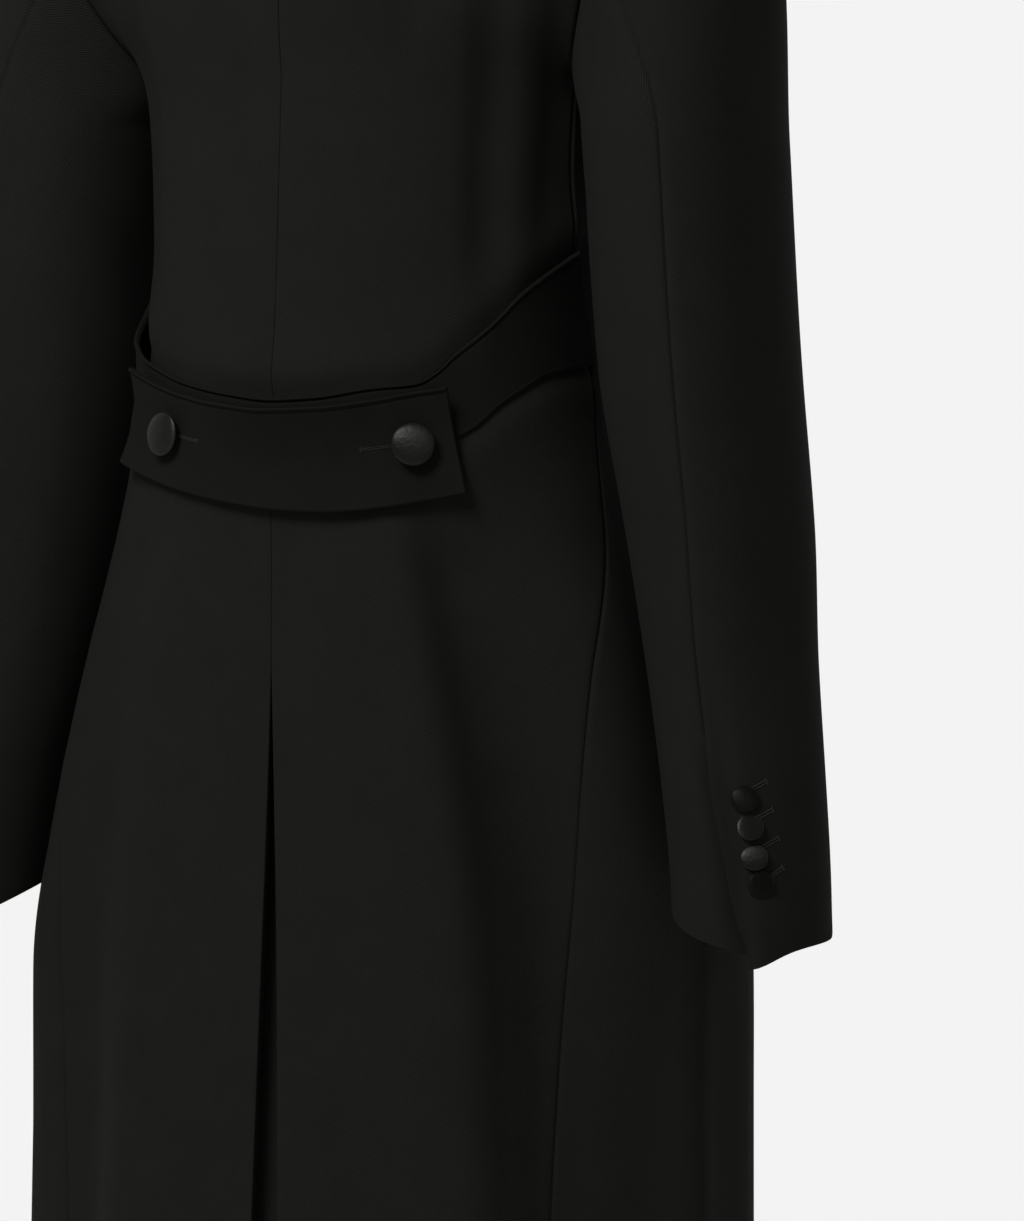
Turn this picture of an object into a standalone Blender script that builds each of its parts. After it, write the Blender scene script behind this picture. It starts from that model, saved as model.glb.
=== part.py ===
"""A tuxedo coat with a two-layer half belt, as worn, with nobody inside it.

Metres, +Z up. The front faces -Y, so the wearer's right side is at -X. The origin is on the
line of the shoulders at the middle of the neck, where the wearer carries the coat.

Every cut piece is a thin wall. Its points come from one of three forms: the body below the
armholes, the chest and shoulders above them, and the sleeve. Neighbouring pieces read the
same points along their seam and are then drawn apart by the seam gap.

Angles run round the body from the centre back, positive towards the wearer's right.
SIDE is -1 for the wearer's right and +1 for the left.
"""
import math
from types import SimpleNamespace

import bmesh
import bpy
from mathutils import Matrix, Vector
from mathutils.bvhtree import BVHTree

RIGHT = -1
LEFT = 1
SIDES = (("right", RIGHT), ("left", LEFT))

# ------------------------------------------------------------------ driving dimensions
WALL = 0.0016               # wool with its canvas or fusing
SEAM_GAP = 0.0003
SLEEVE_SEAM_GAP = 0.0005    # a little more, for the twist of the wall under the arm
LAY = 0.0010                # clearance under a piece that lies on a panel

HEM_HEIGHT = -1.03
BODY_COLUMNS = ("height", "half_width", "back_depth", "front_depth", "back_seam", "front_seam")
BODY_ROWS = (
    (HEM_HEIGHT, 0.2080, 0.1380, 0.1900, 48.0, 126.0),
    (-0.750, 0.2075, 0.1290, 0.1900, 51.4, 125.0),
    (-0.680, 0.2080, 0.1265, 0.1880, 52.5, 124.0),
    (-0.572, 0.1920, 0.1230, 0.1700, 59.2, 122.0),      # cuff level
    (-0.516, 0.1780, 0.1220, 0.1580, 65.0, 120.0),      # hip
    (-0.430, 0.1520, 0.1210, 0.1420, 80.5, 117.0),
    (-0.350, 0.1320, 0.1190, 0.1340, 88.5, 116.0),      # waist
    (-0.290, 0.1290, 0.1160, 0.1380, 82.5, 115.0),
    (-0.250, 0.1300, 0.1140, 0.1420, 80.5, 114.0),
    (-0.189, 0.1350, 0.1110, 0.1450, 79.0, 112.0),      # foot of the armhole
)
ROW_HEIGHTS = (HEM_HEIGHT, -0.89, -0.77, -0.67, -0.59, -0.52, -0.47, -0.42, -0.375, -0.33,
               -0.27, -0.189)
BLOCK_FOOT = -0.189         # above this height the chest and shoulders take over

# soft vertical folds of the skirt, pressed in (+) or standing out (-)
FOLD_COLUMNS = ("top", "foot", "top_angle", "foot_angle", "half_span", "depth")
FOLD_ROWS = (
    (-0.440, HEM_HEIGHT, 41.5, 54.0, 16.0, 0.0105),
    (-0.480, HEM_HEIGHT, 56.0, 69.0, 22.0, 0.0150),
    (-0.455, HEM_HEIGHT, -39.0, -46.0, 16.0, 0.0070),
    (-0.480, HEM_HEIGHT, -60.0, -68.0, 12.0, -0.0045),
    (-0.600, HEM_HEIGHT, 95.0, 99.0, 15.0, 0.0060),
    (-0.580, HEM_HEIGHT, -97.0, -92.0, 14.0, 0.0070),
)

# inverted pleat at the centre back
PLEAT_TOP = -0.512
PLEAT_SPREAD = 0.024        # half opening for each metre below the top
PLEAT_DEPTH = 0.014
PLEAT_FLANK = 0.0060        # how far the folded-in side slants past the edge

# neck, shoulder and armhole
NAPE = Vector((0.0, 0.070, -0.006))
NECK_SIDE = Vector((0.076, 0.004, 0.010))
GORGE = Vector((0.070, -0.034, -0.008))
SHOULDER = Vector((0.195, 0.0, -0.035))
CENTRE_BACK_CONTROL = (Vector((0.0, 0.121, -0.120)), Vector((0.0, 0.108, -0.045)))
ROLL_LINE_CONTROL = Vector((0.047, -0.119, -0.078))
BACK_FULLNESS = Vector((0.004, 0.005, 0.006))
CHEST_FULLNESS = Vector((0.004, -0.013, 0.004))

ARMHOLE_ROWS = (            # turn (0 shoulder, 90 back, 180 under the arm), out, fore, height
    (0, 0.195, 0.000, -0.035),
    (45, 0.186, 0.045, -0.060),
    (90, 0.168, 0.062, -0.120),
    (120, 0.148, 0.046, -0.163),
    (240, 0.150, -0.050, -0.165),
    (270, 0.167, -0.060, -0.125),
    (315, 0.186, -0.042, -0.064),
)
UNDERARM_HEIGHT = -0.200
BACK_TURNS = tuple(range(150, -1, -15))
UNDER_TURNS = tuple(range(150, 211, 10))
FRONT_TURNS = tuple(range(210, 361, 15))
TOP_SLEEVE_TURNS = tuple(range(240, 451, 15))           # forearm seam to elbow seam
UNDER_SLEEVE_TURNS = (90, 105, 120, 135, *range(150, 211, 10), 225, 240)

# front edge
FRONT_LAP = 0.018           # each front passes the centre line by this much
LAP_FADE = 0.055            # from here to the centre the upper front rises over the lower one
LAP_COLUMNS = ("height", "lift")
LAP_ROWS = ((-1.03, 0.0030), (-0.42, 0.0030), (-0.35, 0.0072), (-0.27, 0.0075), (-0.20, 0.0))
BREAK_HEIGHT = -0.345       # where the lapel starts to roll

SLEEVE_COLUMNS = ("height", "out", "fore", "half_width", "half_depth", "elbow", "forearm")
SLEEVE_ROWS = (             # angles: 0 to the back, 90 outwards, 180 to the front
    (-0.690, 0.2505, 0.0290, 0.0408, 0.0490, 33.0, 226.0),
    (-0.665, 0.2490, 0.0281, 0.0411, 0.0496, 29.0, 226.0),
    (-0.653, 0.2480, 0.0275, 0.0412, 0.0500, 24.0, 226.0),
    (-0.624, 0.2452, 0.0247, 0.0414, 0.0506, 17.0, 226.0),
    (-0.572, 0.2378, 0.0198, 0.0424, 0.0524, 10.5, 226.0),
    (-0.516, 0.2260, 0.0097, 0.0440, 0.0552, 11.5, 226.0),
    (-0.431, 0.2122, 0.0015, 0.0485, 0.0625, 17.0, 226.0),
    (-0.350, 0.1998, -0.0003, 0.0515, 0.0673, 21.0, 226.0),
    (-0.225, 0.1908, 0.0000, 0.0520, 0.0700, 22.5, 226.0),
)
CAP_FOOT = -0.225           # first full ring of the sleeve
CAP_STEPS = 4
SLEEVE_HEIGHTS = (-0.31, -0.39, -0.47, -0.55, -0.62)
CUFF_HEIGHT = -0.6500       # middle of the cuff's edge, which rises to the front
CUFF_TILT = 0.0230
CUFF_LOW_ANGLE = 49.0
CUFF_STRAIGHT = 0.0064      # draws the edge straight from the vent to the outer side
CUFF_POINT = 0.0060         # and the edge droops into a point at the vent
CUFF_POINT_REACH = 24.0     # degrees round the top sleeve; a third of it on the under one

# half belt: where its edges lie, by the share of the way from the centre to the side seam
BELT_COLUMNS = ("share", "top", "foot")
BELT_ROWS = (
    (-1.00, -0.2960, -0.3500),
    (-0.82, -0.3230, -0.3660),
    (-0.64, -0.3405, -0.3860),
    (-0.52, -0.3470, -0.3920),
    (-0.34, -0.3560, -0.3985),
    (-0.14, -0.3632, -0.4040),
    (0.00, -0.3664, -0.4060),
    (0.12, -0.3654, -0.4045),
    (0.29, -0.3602, -0.4000),
    (0.40, -0.3582, -0.3960),
    (0.46, -0.3520, -0.3920),
    (0.51, -0.3430, -0.3885),
    (0.56, -0.3360, -0.3835),
    (0.64, -0.3250, -0.3710),
    (0.75, -0.3090, -0.3590),
    (0.80, -0.3035, -0.3545),
    (1.00, -0.2856, -0.3480),
)
BELT_WALL = 0.0020
BELT_CLEAR = 0.0002         # over the rounded form; the flat facets below lie deeper
BELT_HALF_STEPS = 13
BELT_END_INSET = 0.5        # degrees short of the side seam
TAB_COLUMNS = ("angle", "top", "foot", "stand_off")
TAB_ROWS = (
    (-50.0, -0.3490, -0.4010, 0.0045),
    (-30.0, -0.3615, -0.4130, 0.0002),
    (-20.0, -0.3660, -0.4185, 0.0004),
    (-8.0, -0.3700, -0.4240, 0.0010),
    (2.0, -0.3725, -0.4275, 0.0014),
    (14.0, -0.3716, -0.4290, 0.0014),
    (26.0, -0.3676, -0.4264, 0.0006),
    (34.0, -0.3640, -0.4228, 0.0002),
    (43.0, -0.3610, -0.4187, 0.0026),
)
TAB_SLANT = 1.1             # degrees by which its right end slants outwards to the foot
TAB_WALL = 0.0026
TAB_CLEAR = 0.0003
TAB_STEPS = 14

BUTTON_COLUMNS = ("angle", "height", "diameter", "tilt", "turn")
BELT_BUTTONS = (
    (33.3, -0.3925, 0.0240, -4.0, 10.0),
    (-29.8, -0.3862, 0.0240, 8.0, 80.0),
)
CUFF_BUTTONS = (
    (34.5, -0.5845, 0.0150, 7.0, 300.0),
    (36.2, -0.5998, 0.0150, 5.0, 60.0),
    (37.5, -0.6163, 0.0150, 6.0, 180.0),
    (41.0, -0.6312, 0.0150, 8.0, 270.0),
)
FRONT_BUTTONS = (
    (180.0, -0.355, 0.0240, 0.0, 0.0),
    (180.0, -0.475, 0.0240, 0.0, 0.0),
)
BUTTON_RISE = 0.19          # dome height as a share of the diameter
BUTTON_SEARCH = 0.03        # how far out a button starts before it is lowered to its seat
BUTTON_SEAT = 0.00045

# collar and lapels
COLLAR_ROLL = 0.0045
COLLAR_COLUMNS = ("place", "stand", "across", "rise")   # stand height; where the fall's edge lands
COLLAR_ROWS = (             # -1 on the roll line, GORGE_PLACE at its top, 0 the neck side, 1 nape
    (-1.0, 0.005, 0.46, 0.745),
    (-0.7, 0.010, 0.48, 0.830),
    (-0.4, 0.017, 0.50, 0.915),
    (0.0, 0.026, 0.50, 1.000),
    (0.5, 0.029, 0.27, 0.965),
    (1.0, 0.030, 0.00, 0.935),
)
GORGE_PLACE = -0.4
COLLAR_FRONT_RISE = 0.81    # where the collar starts on the roll line
COLLAR_STEPS = 9            # each side, from its front end to the nape
COLLAR_FACING = 1
LAPEL_COLUMNS = ("rise", "reach")       # 0 at the break, 1 at the peak; share of the front's width
LAPEL_ROWS = ((0.0, 0.03), (0.2, 0.16), (0.45, 0.34), (0.72, 0.51), (0.90, 0.63), (1.0, 0.73))
LAPEL_TOP_COLUMNS = ("out", "along")    # its upper edge, from the roll line to the peak
LAPEL_TOP_ROWS = ((0.0, 0.882), (0.3, 0.864), (0.6, 0.842), (0.8, 0.856), (1.0, 0.895))
ROLL_LINE_LENGTH = 0.366
LAPEL_STEPS = 10
LAPEL_ACROSS = 5
LAPEL_WALL = 0.0018
LAPEL_ROLL = 0.0030         # how far the lapel springs off the chest by its fold


# ------------------------------------------------------------------ small helpers
def table(columns, rows):
    """Rows as named values, in rising order of the first column."""
    return sorted((SimpleNamespace(**dict(zip(columns, row))) for row in rows),
                  key=lambda row: getattr(row, columns[0]))


def read_table(rows, columns, place):
    """The named values at a place between rows, on a smooth curve through them."""
    keys = [getattr(row, columns[0]) for row in rows]
    place = min(max(place, keys[0]), keys[-1])
    index = max(i for i in range(len(rows) - 1) if keys[i] <= place)
    step = keys[index + 1] - keys[index]
    share = (place - keys[index]) / step
    values = {columns[0]: place}
    for name in columns[1:]:
        line = [getattr(row, name) for row in rows]

        def slope(i):
            if i in (0, len(rows) - 1):
                return 0.0 if len(rows) == 2 else slope_between(line, keys, i)
            before = (line[i] - line[i - 1]) / (keys[i] - keys[i - 1])
            after = (line[i + 1] - line[i]) / (keys[i + 1] - keys[i])
            if before * after <= 0.0:
                return 0.0
            return 2.0 * before * after / (before + after)

        values[name] = hermite(line[index], line[index + 1],
                               slope(index) * step, slope(index + 1) * step, share)
    return SimpleNamespace(**values)


def slope_between(line, keys, i):
    """Slope of the first or the last stretch of a table."""
    other = 1 if i == 0 else i - 1
    return (line[other] - line[i]) / (keys[other] - keys[i])


def hermite(start, end, start_slope, end_slope, share):
    """Cubic from start to end; works for numbers and for vectors."""
    square, cube = share ** 2, share ** 3
    return (start * (2 * cube - 3 * square + 1) + start_slope * (cube - 2 * square + share)
            + end * (3 * square - 2 * cube) + end_slope * (cube - square))


def blend(start, end, share):
    return start + (end - start) * share


def ease(share):
    share = min(max(share, 0.0), 1.0)
    return share * share * (3.0 - 2.0 * share)


def mirrored(point, side):
    return Vector((point.x * side, point.y, point.z))


BODY = table(BODY_COLUMNS, BODY_ROWS)
FOLDS = table(FOLD_COLUMNS, FOLD_ROWS)
SLEEVE = table(SLEEVE_COLUMNS, SLEEVE_ROWS)
BELT = table(BELT_COLUMNS, BELT_ROWS)
TAB = table(TAB_COLUMNS, TAB_ROWS)
COLLAR = table(COLLAR_COLUMNS, COLLAR_ROWS)
LAPEL = table(LAPEL_COLUMNS, LAPEL_ROWS)
LAPEL_TOP = table(LAPEL_TOP_COLUMNS, LAPEL_TOP_ROWS)
LAP = table(LAP_COLUMNS, LAP_ROWS)


# ------------------------------------------------------------------ body below the armholes
def body_section(height):
    return read_table(BODY, BODY_COLUMNS, height)


def fold_depth(angle, height):
    """How far the skirt's soft folds press the cloth in at this place."""
    depth = 0.0
    for fold in FOLDS:
        fall = (fold.top - height) / (fold.top - fold.foot)
        if fall <= 0.0:
            continue
        middle = blend(fold.top_angle, fold.foot_angle, fall)
        offset = (angle - middle + 180.0) % 360.0 - 180.0
        if abs(offset) < fold.half_span:
            across = 0.5 + 0.5 * math.cos(math.pi * offset / fold.half_span)
            depth += fold.depth * across * ease(fall / 0.35)
    return depth


def body_point(angle, height, lift=0.0):
    """A point of the outer surface; angle in degrees from the centre back."""
    section = body_section(height)
    sine, cosine = math.sin(math.radians(angle)), math.cos(math.radians(angle))
    depth = section.back_depth if cosine >= 0.0 else section.front_depth
    point = Vector((-section.half_width * sine, depth * cosine, height))
    outward = Vector((-sine / section.half_width, cosine / depth, 0.0)).normalized()
    return point + outward * (lift - fold_depth(angle, height))


def side_angle(angle, side):
    """The same place on the wearer's right (side -1) or left (side +1)."""
    return -side * angle


def pleat_opening(height):
    return max(0.0, (PLEAT_TOP - height) * PLEAT_SPREAD)


def front_edge_out(height):
    """How far towards its own side a front's edge lies; negative when it laps the other."""
    if height <= BREAK_HEIGHT:
        return -FRONT_LAP
    share = (height - BREAK_HEIGHT) / (GORGE.z - BREAK_HEIGHT)
    return blend(-FRONT_LAP, GORGE.x, share)


def front_edge_angle(height):
    section = body_section(height)
    return 180.0 - math.degrees(math.asin(front_edge_out(height) / section.half_width))


def front_lift(angle, height, side):
    """The right front stands off the left one where they lap, most of all at the break."""
    if side == LEFT:
        return 0.0
    out = body_section(height).half_width * math.sin(math.radians(angle))
    near_centre = ease((LAP_FADE - out) / (LAP_FADE - FRONT_LAP))
    return near_centre * read_table(LAP, LAP_COLUMNS, height).lift


# ------------------------------------------------------------------ chest and shoulders
def armhole_rows():
    """The loop's named places; the three lowest lie on the body at the side panel."""
    rows = list(ARMHOLE_ROWS)
    foot = body_section(BLOCK_FOOT)
    for turn, angle, height in ((150, foot.back_seam, BLOCK_FOOT),
                                (180, 95.0, UNDERARM_HEIGHT),
                                (210, foot.front_seam, BLOCK_FOOT)):
        point = body_point(angle, height)
        rows.append((turn, -point.x, point.y, height))
    return sorted(rows)


ARMHOLE = armhole_rows()


def armhole_point(turn, side):
    """A point of the armhole's closed loop, turn in degrees from the shoulder by the back."""
    turn %= 360.0
    count = len(ARMHOLE)
    index = max(i for i in range(count) if ARMHOLE[i][0] <= turn)
    picks = [ARMHOLE[(index + k) % count] for k in (-1, 0, 1, 2)]
    turns = [ARMHOLE[(index + k) % count][0] + 360.0 * ((index + k) // count)
             for k in (-1, 0, 1, 2)]
    points = [Vector(pick[1:]) for pick in picks]
    step = turns[2] - turns[1]
    start_slope = (points[2] - points[0]) * (step / (turns[2] - turns[0]))
    end_slope = (points[3] - points[1]) * (step / (turns[3] - turns[1]))
    point = hermite(points[1], points[2], start_slope, end_slope, (turn - turns[1]) / step)
    return mirrored(point, side)


def bezier(points, share):
    """A point on the Bezier curve of any number of control points."""
    points = list(points)
    while len(points) > 1:
        points = [blend(a, b, share) for a, b in zip(points, points[1:])]
    return points[0]


def coons(foot, top, centre, armhole, across, rise):
    """A smooth patch through its four edges, each given as a function of 0 to 1."""
    ruled = blend(foot(across), top(across), rise) + blend(centre(rise), armhole(rise), across)
    corners = blend(blend(foot(0.0), foot(1.0), across), blend(top(0.0), top(1.0), across), rise)
    return ruled - corners


NECK_SHARE = 0.4            # of the patch's top edge; the rest is the shoulder seam


def shoulder_seam(share, side):
    return mirrored(blend(NECK_SIDE, SHOULDER, share), side)


def back_top(across, side):
    if across >= NECK_SHARE:
        return shoulder_seam((across - NECK_SHARE) / (1.0 - NECK_SHARE), side)
    turn = math.radians(90.0 * across / NECK_SHARE)
    return mirrored(Vector((NECK_SIDE.x * math.sin(turn),
                            blend(NECK_SIDE.y, NAPE.y, math.cos(turn)),
                            blend(NAPE.z, NECK_SIDE.z, math.sin(turn) ** 2))), side)


def front_top(across, side):
    if across >= NECK_SHARE:
        return shoulder_seam((across - NECK_SHARE) / (1.0 - NECK_SHARE), side)
    return mirrored(blend(GORGE, NECK_SIDE, across / NECK_SHARE), side)


def back_block(across, rise, side):
    """The back between the armhole's foot and the shoulder."""
    seam = body_section(BLOCK_FOOT).back_seam
    centre_foot = body_point(0.0, BLOCK_FOOT)
    return coons(lambda s: body_point(side_angle(s * seam, side), BLOCK_FOOT),
                 lambda s: back_top(s, side),
                 lambda s: bezier((centre_foot, *CENTRE_BACK_CONTROL, NAPE), s),
                 lambda s: armhole_point(BACK_TURNS[0] * (1.0 - s), side),
                 across, rise) + mirrored(BACK_FULLNESS, side) * dome(across, rise)


def front_block(across, rise, side):
    """The chest between the armhole's foot and the shoulder."""
    seam = body_section(BLOCK_FOOT).front_seam
    edge = front_edge_angle(BLOCK_FOOT)
    edge_foot = body_point(side_angle(edge, side), BLOCK_FOOT)
    return coons(lambda s: body_point(side_angle(blend(edge, seam, s), side), BLOCK_FOOT),
                 lambda s: front_top(s, side),
                 lambda s: bezier((edge_foot, mirrored(ROLL_LINE_CONTROL, side),
                                   mirrored(GORGE, side)), s),
                 lambda s: armhole_point(blend(FRONT_TURNS[0], FRONT_TURNS[-1], s), side),
                 across, rise) + mirrored(CHEST_FULLNESS, side) * dome(across, rise)


def dome(across, rise):
    return math.sin(math.pi * across) * math.sin(math.pi * rise)


# ------------------------------------------------------------------ sleeve
def sleeve_ring(angle, height, side, lift=0.0):
    """A point of the sleeve's outer surface; angle 0 to the back, 90 outwards."""
    ring = read_table(SLEEVE, SLEEVE_COLUMNS, height)
    sine, cosine = math.sin(math.radians(angle)), math.cos(math.radians(angle))
    out = ring.out + (ring.half_width + lift) * sine
    fore = ring.fore + (ring.half_depth + lift) * cosine
    return Vector((side * out, fore, height))


def cuff_height(angle, elbow, top_piece):
    """Height of the cuff's edge, which ends in a point at the vent, mostly the top sleeve's."""
    height = CUFF_HEIGHT - CUFF_TILT * math.cos(math.radians(angle - CUFF_LOW_ANGLE))
    if elbow < angle < elbow + 90.0:
        height += CUFF_STRAIGHT * math.sin(math.radians(2.0 * (angle - elbow)))
    reach = CUFF_POINT_REACH if top_piece else CUFF_POINT_REACH / 3
    return height - CUFF_POINT * math.exp(-((angle - elbow) / reach) ** 2)


def sleeve_point(turn, row, turns, side, top_piece):
    """Row 0 is the armhole, CAP_STEPS the first full ring, and the last the cuff."""
    share = (turn - turns[0]) / (turns[-1] - turns[0])
    if row <= CAP_STEPS:
        ring = read_table(SLEEVE, SLEEVE_COLUMNS, CAP_FOOT)
        ring_point = sleeve_ring(seam_to_angle(share, ring, top_piece), CAP_FOOT, side)
        hole = armhole_point(turn, side) + Vector((side * SEAM_GAP, 0.0, 0.0))
        reach = (ring_point - hole).length
        over = 0.5 + 0.5 * math.cos(math.radians(turn))
        away = Vector((side * 0.95 * over, 0.16 * math.sin(math.radians(turn)),
                       0.75 * over - 1.0)) * reach
        return hermite(hole, ring_point, away, Vector((0.0, 0.0, -reach)), row / CAP_STEPS)
    cuff = read_table(SLEEVE, SLEEVE_COLUMNS, CUFF_HEIGHT)
    if row > CAP_STEPS + len(SLEEVE_HEIGHTS):
        height = cuff_height(seam_to_angle(share, cuff, top_piece), cuff.elbow, top_piece)
    else:
        height = SLEEVE_HEIGHTS[row - CAP_STEPS - 1]
    ring = read_table(SLEEVE, SLEEVE_COLUMNS, height)
    return sleeve_ring(seam_to_angle(share, ring, top_piece), height, side)


def seam_to_angle(share, ring, top_piece):
    """From a share of a sleeve piece's width to the angle round the ring."""
    if top_piece:
        return blend(ring.forearm, ring.elbow, share)
    return blend(ring.elbow, ring.forearm - 360.0, share)


# ------------------------------------------------------------------ cut pieces as grids
PANEL_STEPS = 10


def back_grid(side):
    """Rows from the hem up; each runs from the centre back to the side seam or armhole."""
    rows = []
    for height in ROW_HEIGHTS:
        section = body_section(height)
        start = math.degrees(math.asin(pleat_opening(height) / section.half_width))
        rows.append([body_point(side_angle(blend(start, section.back_seam, k / PANEL_STEPS), side),
                                height) for k in range(PANEL_STEPS + 1)])
    for turn in BACK_TURNS[1:]:
        rise = 1.0 - turn / BACK_TURNS[0]
        rows.append([back_block(k / PANEL_STEPS, rise, side) for k in range(PANEL_STEPS + 1)])
    return rows


def side_grid(side):
    """Rows from the hem up; each runs from the back seam to the front seam."""
    count = len(UNDER_TURNS) - 1
    rows = []
    for height in ROW_HEIGHTS[:-1]:
        section = body_section(height)
        rows.append([body_point(side_angle(blend(section.back_seam, section.front_seam, k / count),
                                           side), height) for k in range(count + 1)])
    rows.append([armhole_point(turn, side) for turn in UNDER_TURNS])
    return rows


def front_place(across, height, side, lift=0.0):
    """A point of a front below the chest block, from its edge (0) to the side seam (1)."""
    angle = blend(front_edge_angle(height), body_section(height).front_seam, across)
    return body_point(side_angle(angle, side), height, lift + front_lift(angle, height, side))


def front_grid(side):
    """Rows from the hem up; each runs from the front edge to the side seam or armhole."""
    rows = [[front_place(k / PANEL_STEPS, height, side) for k in range(PANEL_STEPS + 1)]
            for height in ROW_HEIGHTS]
    for turn in FRONT_TURNS[1:]:
        rise = (turn - FRONT_TURNS[0]) / (FRONT_TURNS[-1] - FRONT_TURNS[0])
        rows.append([front_block(k / PANEL_STEPS, rise, side) for k in range(PANEL_STEPS + 1)])
    return rows


def sleeve_grid(turns, side, top_piece):
    """Rows from the armhole down to the cuff."""
    count = CAP_STEPS + len(SLEEVE_HEIGHTS) + 1
    return [[sleeve_point(turn, row, turns, side, top_piece) for turn in turns]
            for row in range(count + 1)]


# ------------------------------------------------------------------ walls from grids
def place_key(point):
    return tuple(round(value, 6) for value in point)


def add_normals(grid, facing, sums):
    """Add each face's outward normal to the sums kept for its four corners."""
    for low, high in zip(grid, grid[1:]):
        for k in range(len(low) - 1):
            corners = (low[k], low[k + 1], high[k + 1], high[k])
            normal = (corners[2] - corners[0]).cross(corners[3] - corners[1]) * facing
            for corner in corners:
                key = place_key(corner)
                sums[key] = sums.get(key, Vector((0.0, 0.0, 0.0))) + normal


def share_armhole_normals(body_sums, sleeve_sums, side):
    """Both sides of the armhole seam get one direction, except in the fold under the arm."""
    for turn in {turn % 360 for turn in TOP_SLEEVE_TURNS + UNDER_SLEEVE_TURNS + UNDER_TURNS}:
        hole = armhole_point(turn, side)
        body_key = place_key(hole)
        sleeve_key = place_key(hole + Vector((side * SEAM_GAP, 0.0, 0.0)))
        body_normal = body_sums[body_key].normalized()
        sleeve_normal = sleeve_sums[sleeve_key].normalized()
        both = (body_normal + sleeve_normal).normalized()
        share = min(max((math.cos(math.radians(turn)) + 0.95) / 0.5, 0.0), 1.0)
        body_sums[body_key] = blend(body_normal, both, share)
        sleeve_sums[sleeve_key] = blend(sleeve_normal, both, share)


def drawn_in(grid, gap):
    """The grid with each border row and column moved inwards by the gap."""
    rows, columns = len(grid), len(grid[0])
    moved = [list(row) for row in grid]
    for r in range(rows):
        for k in range(columns):
            inner_row = 1 if r == 0 else rows - 2 if r == rows - 1 else r
            inner_column = 1 if k == 0 else columns - 2 if k == columns - 1 else k
            if inner_row != r:
                moved[r][k] = moved[r][k] + (grid[inner_row][k] - grid[r][k]).normalized() * gap
            if inner_column != k:
                moved[r][k] = moved[r][k] + (grid[r][inner_column] - grid[r][k]).normalized() * gap
    return moved


def wall_object(name, grid, sums, thickness, material, gap=SEAM_GAP / 2):
    """A closed wall whose outer face is the grid and whose inner face is offset from it."""
    columns = len(grid[0])
    outer = [point for row in drawn_in(grid, gap) for point in row]
    inner = [point - sums[place_key(true)].normalized() * thickness
             for point, true in zip(outer, (point for row in grid for point in row))]
    mesh = bmesh.new()
    bmesh.ops.create_grid(mesh, x_segments=columns - 1, y_segments=len(grid) - 1, size=1.0)
    number = mesh.verts.layers.int.new("number")
    mesh.verts.ensure_lookup_table()
    for index, vert in enumerate(mesh.verts):
        vert[number] = index
        vert.co = outer[index]
    copied = bmesh.ops.extrude_face_region(mesh, geom=mesh.faces[:], use_keep_orig=True)["geom"]
    for vert in (item for item in copied if isinstance(item, bmesh.types.BMVert)):
        vert.co = inner[vert[number]]
    bmesh.ops.recalc_face_normals(mesh, faces=mesh.faces[:])
    if mesh.calc_volume(signed=True) < 0.0:
        bmesh.ops.reverse_faces(mesh, faces=mesh.faces[:])
    data = bpy.data.meshes.new(name)
    mesh.to_mesh(data)
    mesh.free()
    return add_object(name, data, material)


def lone_wall(name, grid, facing, thickness, material):
    """A wall that shares no seam, offset along its own normals."""
    sums = {}
    add_normals(grid, facing, sums)
    return wall_object(name, grid, sums, thickness, material)


def add_object(name, data, material):
    piece = bpy.data.objects.new(name, data)
    data.materials.append(material)
    data.shade_smooth()
    COLLECTION.objects.link(piece)
    return piece


# ------------------------------------------------------------------ pieces laid on the panels
def belt_grid():
    """The lower belt, caught in both side seams, with rows from its top edge down."""
    rows = []
    for down in (0.0, 0.5, 1.0):
        row = []
        for k in range(2 * BELT_HALF_STEPS + 1):
            share = k / BELT_HALF_STEPS - 1.0
            edge = read_table(BELT, BELT_COLUMNS, share)
            height = blend(edge.top, edge.foot, down)
            angle = share * (body_section(height).back_seam - BELT_END_INSET)
            row.append(body_point(angle, height, BELT_CLEAR + BELT_WALL))
        rows.append(row)
    return rows


def tab_point(angle, down, lift=0.0):
    """A point of the buttoned tab's outer face; down runs from its top edge to its foot."""
    edge = read_table(TAB, TAB_COLUMNS, angle)
    height = blend(edge.top, edge.foot, down)
    angle += TAB_SLANT * (down - 0.5) * ease((angle - TAB[0].angle) / (TAB[-1].angle - TAB[0].angle))
    rise = BELT_CLEAR + BELT_WALL + TAB_CLEAR + TAB_WALL + edge.stand_off
    return body_point(angle, height, rise + lift)


def tab_grid():
    first, last = TAB[0].angle, TAB[-1].angle
    return [[tab_point(blend(first, last, k / TAB_STEPS), down) for k in range(TAB_STEPS + 1)]
            for down in (0.0, 0.5, 1.0)]


def pleat_grid():
    """The pleat's hidden cloth: two flanks folded in and the underlay between them."""
    rows = []
    for height in (*(h for h in ROW_HEIGHTS if h < PLEAT_TOP), PLEAT_TOP + 0.015):
        section = body_section(height)
        opening = pleat_opening(height)
        half = [(opening + 0.0012, WALL + 0.0008),
                (opening + 0.0016, PLEAT_DEPTH * 0.5),
                (opening + PLEAT_FLANK, PLEAT_DEPTH * 0.9)]
        section_points = [(-out, depth) for out, depth in half]
        section_points += [(0.0, PLEAT_DEPTH * 1.1)] + half[::-1]
        row = []
        for out, depth in section_points:
            fore = section.back_depth * math.sqrt(1.0 - (out / section.half_width) ** 2)
            row.append(Vector((out, fore - depth, height)))
        rows.append(row)
    return rows


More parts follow.
